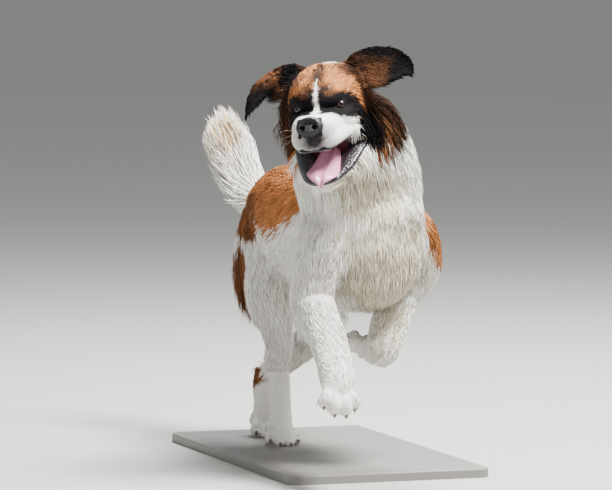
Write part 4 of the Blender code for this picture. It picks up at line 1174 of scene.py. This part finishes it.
def wet_material(name, first, second, cells, roughness, coat, depth):
    """Bare wet skin, horn or enamel: mottled from one colour to the other, and pebbled by this many cells to
    a metre."""
    material = new_material(name)
    place = node(material, "ShaderNodeTexCoord")
    blotch = node(material, "ShaderNodeTexNoise", {"Scale": 90.0, "Detail": 5.0},
                  Vector=place.outputs["Object"])
    mix = node(material, "ShaderNodeMix",
               {"data_type": "RGBA", 6: (*linear(first), 1), 7: (*linear(second), 1)},
               Factor=blotch.outputs["Fac"])
    pebbles = node(material, "ShaderNodeTexVoronoi", {"Scale": cells}, Vector=place.outputs["Object"])
    bump = node(material, "ShaderNodeBump", {"Strength": 0.6, "Distance": depth},
                Height=pebbles.outputs["Distance"])
    return finished(material, node(
        material, "ShaderNodeBsdfPrincipled",
        {"Roughness": roughness, "IOR": 1.4, "Coat Weight": coat, "Coat Roughness": 0.12},
        Base_Color=mix.outputs[2], Normal=bump.outputs["Normal"]))


def nose(material):
    """The nose pad with its nostrils, side slits and the groove down its middle."""
    bm = bmesh.new()
    loft(bm, NOSE_PAD, HEAD, sides=32, power=2.1, narrow=0.35)
    pad = add_object("nose_pad", bm)
    cut = bmesh.new()
    for side in (-1, 1):
        loft(cut, sided(NOSTRIL, side), HEAD, sides=20)
        loft(cut, sided(NOSE_SLIT, side), HEAD, side=(0, 1, 0), sides=14)
    loft(cut, NOSE_GROOVE, HEAD, sides=10)
    combined(pad, "DIFFERENCE", add_object("nostrils", cut))
    modified(pad, "REMESH", mode="VOXEL", voxel_size=0.0007)
    modified(pad, "SMOOTH", factor=0.5, iterations=6)
    shade(pad.data, True)
    return clad(pad, material)


def tongue(material):
    """The tongue hangs over the lower lip with a groove down its middle."""
    bm = bmesh.new()
    loft(bm, TONGUE, HEAD, side=(1, 0, -0.2), sides=40, steps=8, power=2.2, cup=-0.12)
    inverse = HEAD.inverted()
    for v in bm.verts:
        across = (inverse @ v.co).x - TONGUE_MIDDLE
        groove = math.exp(-(across / GROOVE_HALF_WIDTH) ** 2)
        v.co += HEAD.to_3x3() @ Vector((0, 0.6, -1)) * GROOVE_DEPTH * groove
    return clad(add_object("tongue_flesh", bm), material)


def lips(material):
    """The black rims of the flews and of the lower jaw."""
    bm = bmesh.new()
    upper = [(x * 0.97, y, z - d + 0.002, 0.0045, 0.0045) for x, y, z, _, d in FLEW]
    lower = [(x, y, z + 0.004, w + 0.0030, d + 0.0010) for x, y, z, w, d in LOWER_LIP]
    for side in (-1, 1):
        loft(bm, sided(upper, side), HEAD, sides=12)
        loft(bm, sided(lower, side), LOWER, sides=12)
    return clad(fused("lips", bm, voxel=0.0016, rounds=2), material)


def eyeball(name, centre, facing, material):
    """A brown eye: black pupil, brown iris with a dark rim, and the dark corner of the white."""
    bm = bmesh.new()
    turn = facing.to_track_quat("Z", "Y").to_matrix().to_4x4()
    bmesh.ops.create_uvsphere(bm, u_segments=48, v_segments=48, radius=EYE_RADIUS,
                              matrix=Matrix.Translation(centre) @ turn)
    eye = add_object(name, bm)
    angles = [math.degrees(facing.angle(v.co - centre)) for v in eye.data.vertices]
    rings = [next(hex_colour for limit, hex_colour in EYE_RINGS if angle < limit) for angle in angles]
    paint(eye.data, "Eye", [linear(hex_colour) for hex_colour in rings])
    return clad(eye, material)


def eye_material():
    """A wet cornea over the iris: a smooth clear coat with a sharp highlight."""
    material = new_material("cornea")
    tone = node(material, "ShaderNodeVertexColor", {"layer_name": "Eye"})
    return finished(material, node(
        material, "ShaderNodeBsdfPrincipled",
        {"Roughness": 0.20, "IOR": 1.3, "Coat Weight": 0.5, "Coat Roughness": 0.03},
        Base_Color=tone.outputs["Color"]))


def claws(material):
    """Sixteen blunt bent claws."""
    bm = bmesh.new()
    for paw in PAWS.values():
        for sideways, _, reach, _ in TOES:
            loft(bm, [
                (sideways * 1.12, reach - 0.013, -0.001, 0.0044, 0.0048),
                (sideways * 1.13, reach - 0.001, -0.004, 0.0038, 0.0040),
                (sideways * 1.14, reach + 0.0030, -0.0100, 0.0013, 0.0015),
            ], paw_frame(*paw), sides=12)
    return clad(add_object("claws", bm), material)


def whiskers(material):
    """Stiff pale whiskers in three rows of two on each side of the muzzle."""
    rng = np.random.default_rng(5)
    bm = bmesh.new()
    for side in (-1, 1):
        for row in range(3):
            for k in range(2):
                y = -0.112 + 0.014 * k + rng.uniform(-0.003, 0.003)
                start = Vector((side * (0.050 + 0.004 * k), y, -0.052 - 0.011 * row))
                way = Vector((side * 1.0, 0.30 + 0.15 * k, 0.22 - 0.28 * row)).normalized()
                length = rng.uniform(0.045, 0.075)
                bend = Vector((0, 0.35, -0.30)) * length
                rows = []
                for s in (0, 0.35, 0.7, 1):
                    radius = WHISKER_RADIUS * (1.1 - s)
                    rows.append((*(start + way * (length * s) + bend * s * s), radius, radius))
                loft(bm, rows, HEAD, side=(0, 0.3, 1), sides=5, steps=1)
    return clad(add_object("whiskers", bm), material)


def teeth(material):
    """The upper premolars that show under the raised lip."""
    bm = bmesh.new()
    for side in (-1, 1):
        for x, y, z, long in PREMOLARS:
            loft(bm, [
                (side * x, y, z + 0.004, 0.0040, 0.0055),
                (side * x, y, z - long * 0.5, 0.0032, 0.0042),
                (side * x, y, z - long, 0.0008, 0.0012),
            ], HEAD, side=(0, 1, 0), sides=12)
    return clad(add_object("teeth", bm), material)


def base_material():
    """Painted fibreboard: satin paint with a faint roller stipple and dust in it."""
    material = new_material("painted_board")
    place = node(material, "ShaderNodeTexCoord")
    cloud = node(material, "ShaderNodeTexNoise", {"Scale": 6.0, "Detail": 4.0},
                 Vector=place.outputs["Object"])
    mix = node(material, "ShaderNodeMix",
               {"data_type": "RGBA", 6: (*linear("6E6B66"), 1), 7: (*linear("7A7772"), 1)},
               Factor=cloud.outputs["Fac"])
    # Roller stipple about 2 mm across
    stipple = node(material, "ShaderNodeTexNoise", {"Scale": 500.0, "Detail": 2.0},
                   Vector=place.outputs["Object"])
    bump = node(material, "ShaderNodeBump", {"Strength": 0.15, "Distance": 0.0004},
                Height=stipple.outputs["Fac"])
    return finished(material, node(
        material, "ShaderNodeBsdfPrincipled", {"Roughness": 0.45, "IOR": 1.5},
        Base_Color=mix.outputs[2], Normal=bump.outputs["Normal"]))


def floor_material():
    """Matt grey studio paper."""
    material = new_material("studio_floor")
    return finished(material, node(
        material, "ShaderNodeBsdfPrincipled", {"Roughness": 0.9, "Base Color": (*linear("A9A8A4"), 1)}))


def aimed(obj, place, target):
    """Puts a lamp or the camera at a place and points it at its target."""
    obj.location = place
    obj.rotation_euler = (Vector(target) - Vector(place)).to_track_quat("-Z", "Y").to_euler()


def studio():
    """A pale floor, an even sky, a key, a fill and a rim lamp, and the camera."""
    bm = bmesh.new()
    bmesh.ops.create_circle(bm, cap_ends=True, segments=96, radius=60)
    floor = clad(add_object("floor", bm, smooth=False), floor_material())
    world = bpy.data.worlds.new("studio")
    bpy.context.scene.world = world
    world.use_nodes = True
    sky = world.node_tree.nodes["Background"].inputs
    sky["Color"].default_value = (*linear("E9ECEE"), 1)
    sky["Strength"].default_value = SKY_STRENGTH
    for name, place, size, power in LAMPS:
        light = bpy.data.lights.new(name, "AREA")
        light.energy = power
        light.size = size
        aimed(linked(name, light), place, LAMPS_AIM)
    camera = linked("camera", bpy.data.cameras.new("camera"))
    camera.data.lens = CAMERA_LENS
    camera.data.sensor_width = 36
    camera.data.clip_end = 200
    aimed(camera, CAMERA_PLACE, CAMERA_AIM)
    bpy.context.scene.camera = camera


def main():
    """Dresses the dog, piece by piece, in the studio."""
    studio()
    skin, eyes = one_skin()
    paint_skin(skin, eyes)
    clad(skin, skin_material())
    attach(skin, "root")
    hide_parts("head", "lower_jaw", "ear_left", "ear_right", "neck", "torso", "tail", "foreleg_left",
                "foreleg_right", "hindleg_left", "hindleg_right")
    for piece in grow_coat(skin, eyes, hair_material()):
        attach(piece, "root")
    glass = eye_material()
    for label, (centre, facing) in zip(("right", "left"), eyes):
        eye = eyeball(f"eyeball_{label}", centre, facing, glass)
        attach(eye, "root")
        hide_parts(f"eye_{label}")
    pad = nose(wet_material("wet_nose_leather", "060607", "121114", 620.0, 0.55, 0.08, 0.0007))
    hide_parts("nose")
    flesh = tongue(wet_material("wet_tongue", "A86484", "CE8CAA", 700.0, 0.40, 0.4, 0.0004))
    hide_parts("tongue")
    rims = lips(wet_material("wet_lip_skin", "060506", "241822", 190.0, 0.30, 0.5, 0.0035))
    nails = claws(wet_material("claw_horn", "4A4039", "6A5C50", 160.0, 0.4, 0.2, 0.0002))
    hairs = whiskers(wet_material("whisker_keratin", "BDB7AB", "D2CCC0", 300.0, 0.5, 0.0, 0.0001))
    ivory = teeth(wet_material("tooth_enamel", "DCCFA8", "E8DFC2", 260.0, 0.25, 0.6, 0.0001))
    for piece in (pad, flesh, rims, nails, hairs, ivory):
        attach(piece, "root")
    clad(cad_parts["stand_base"], base_material())


main()
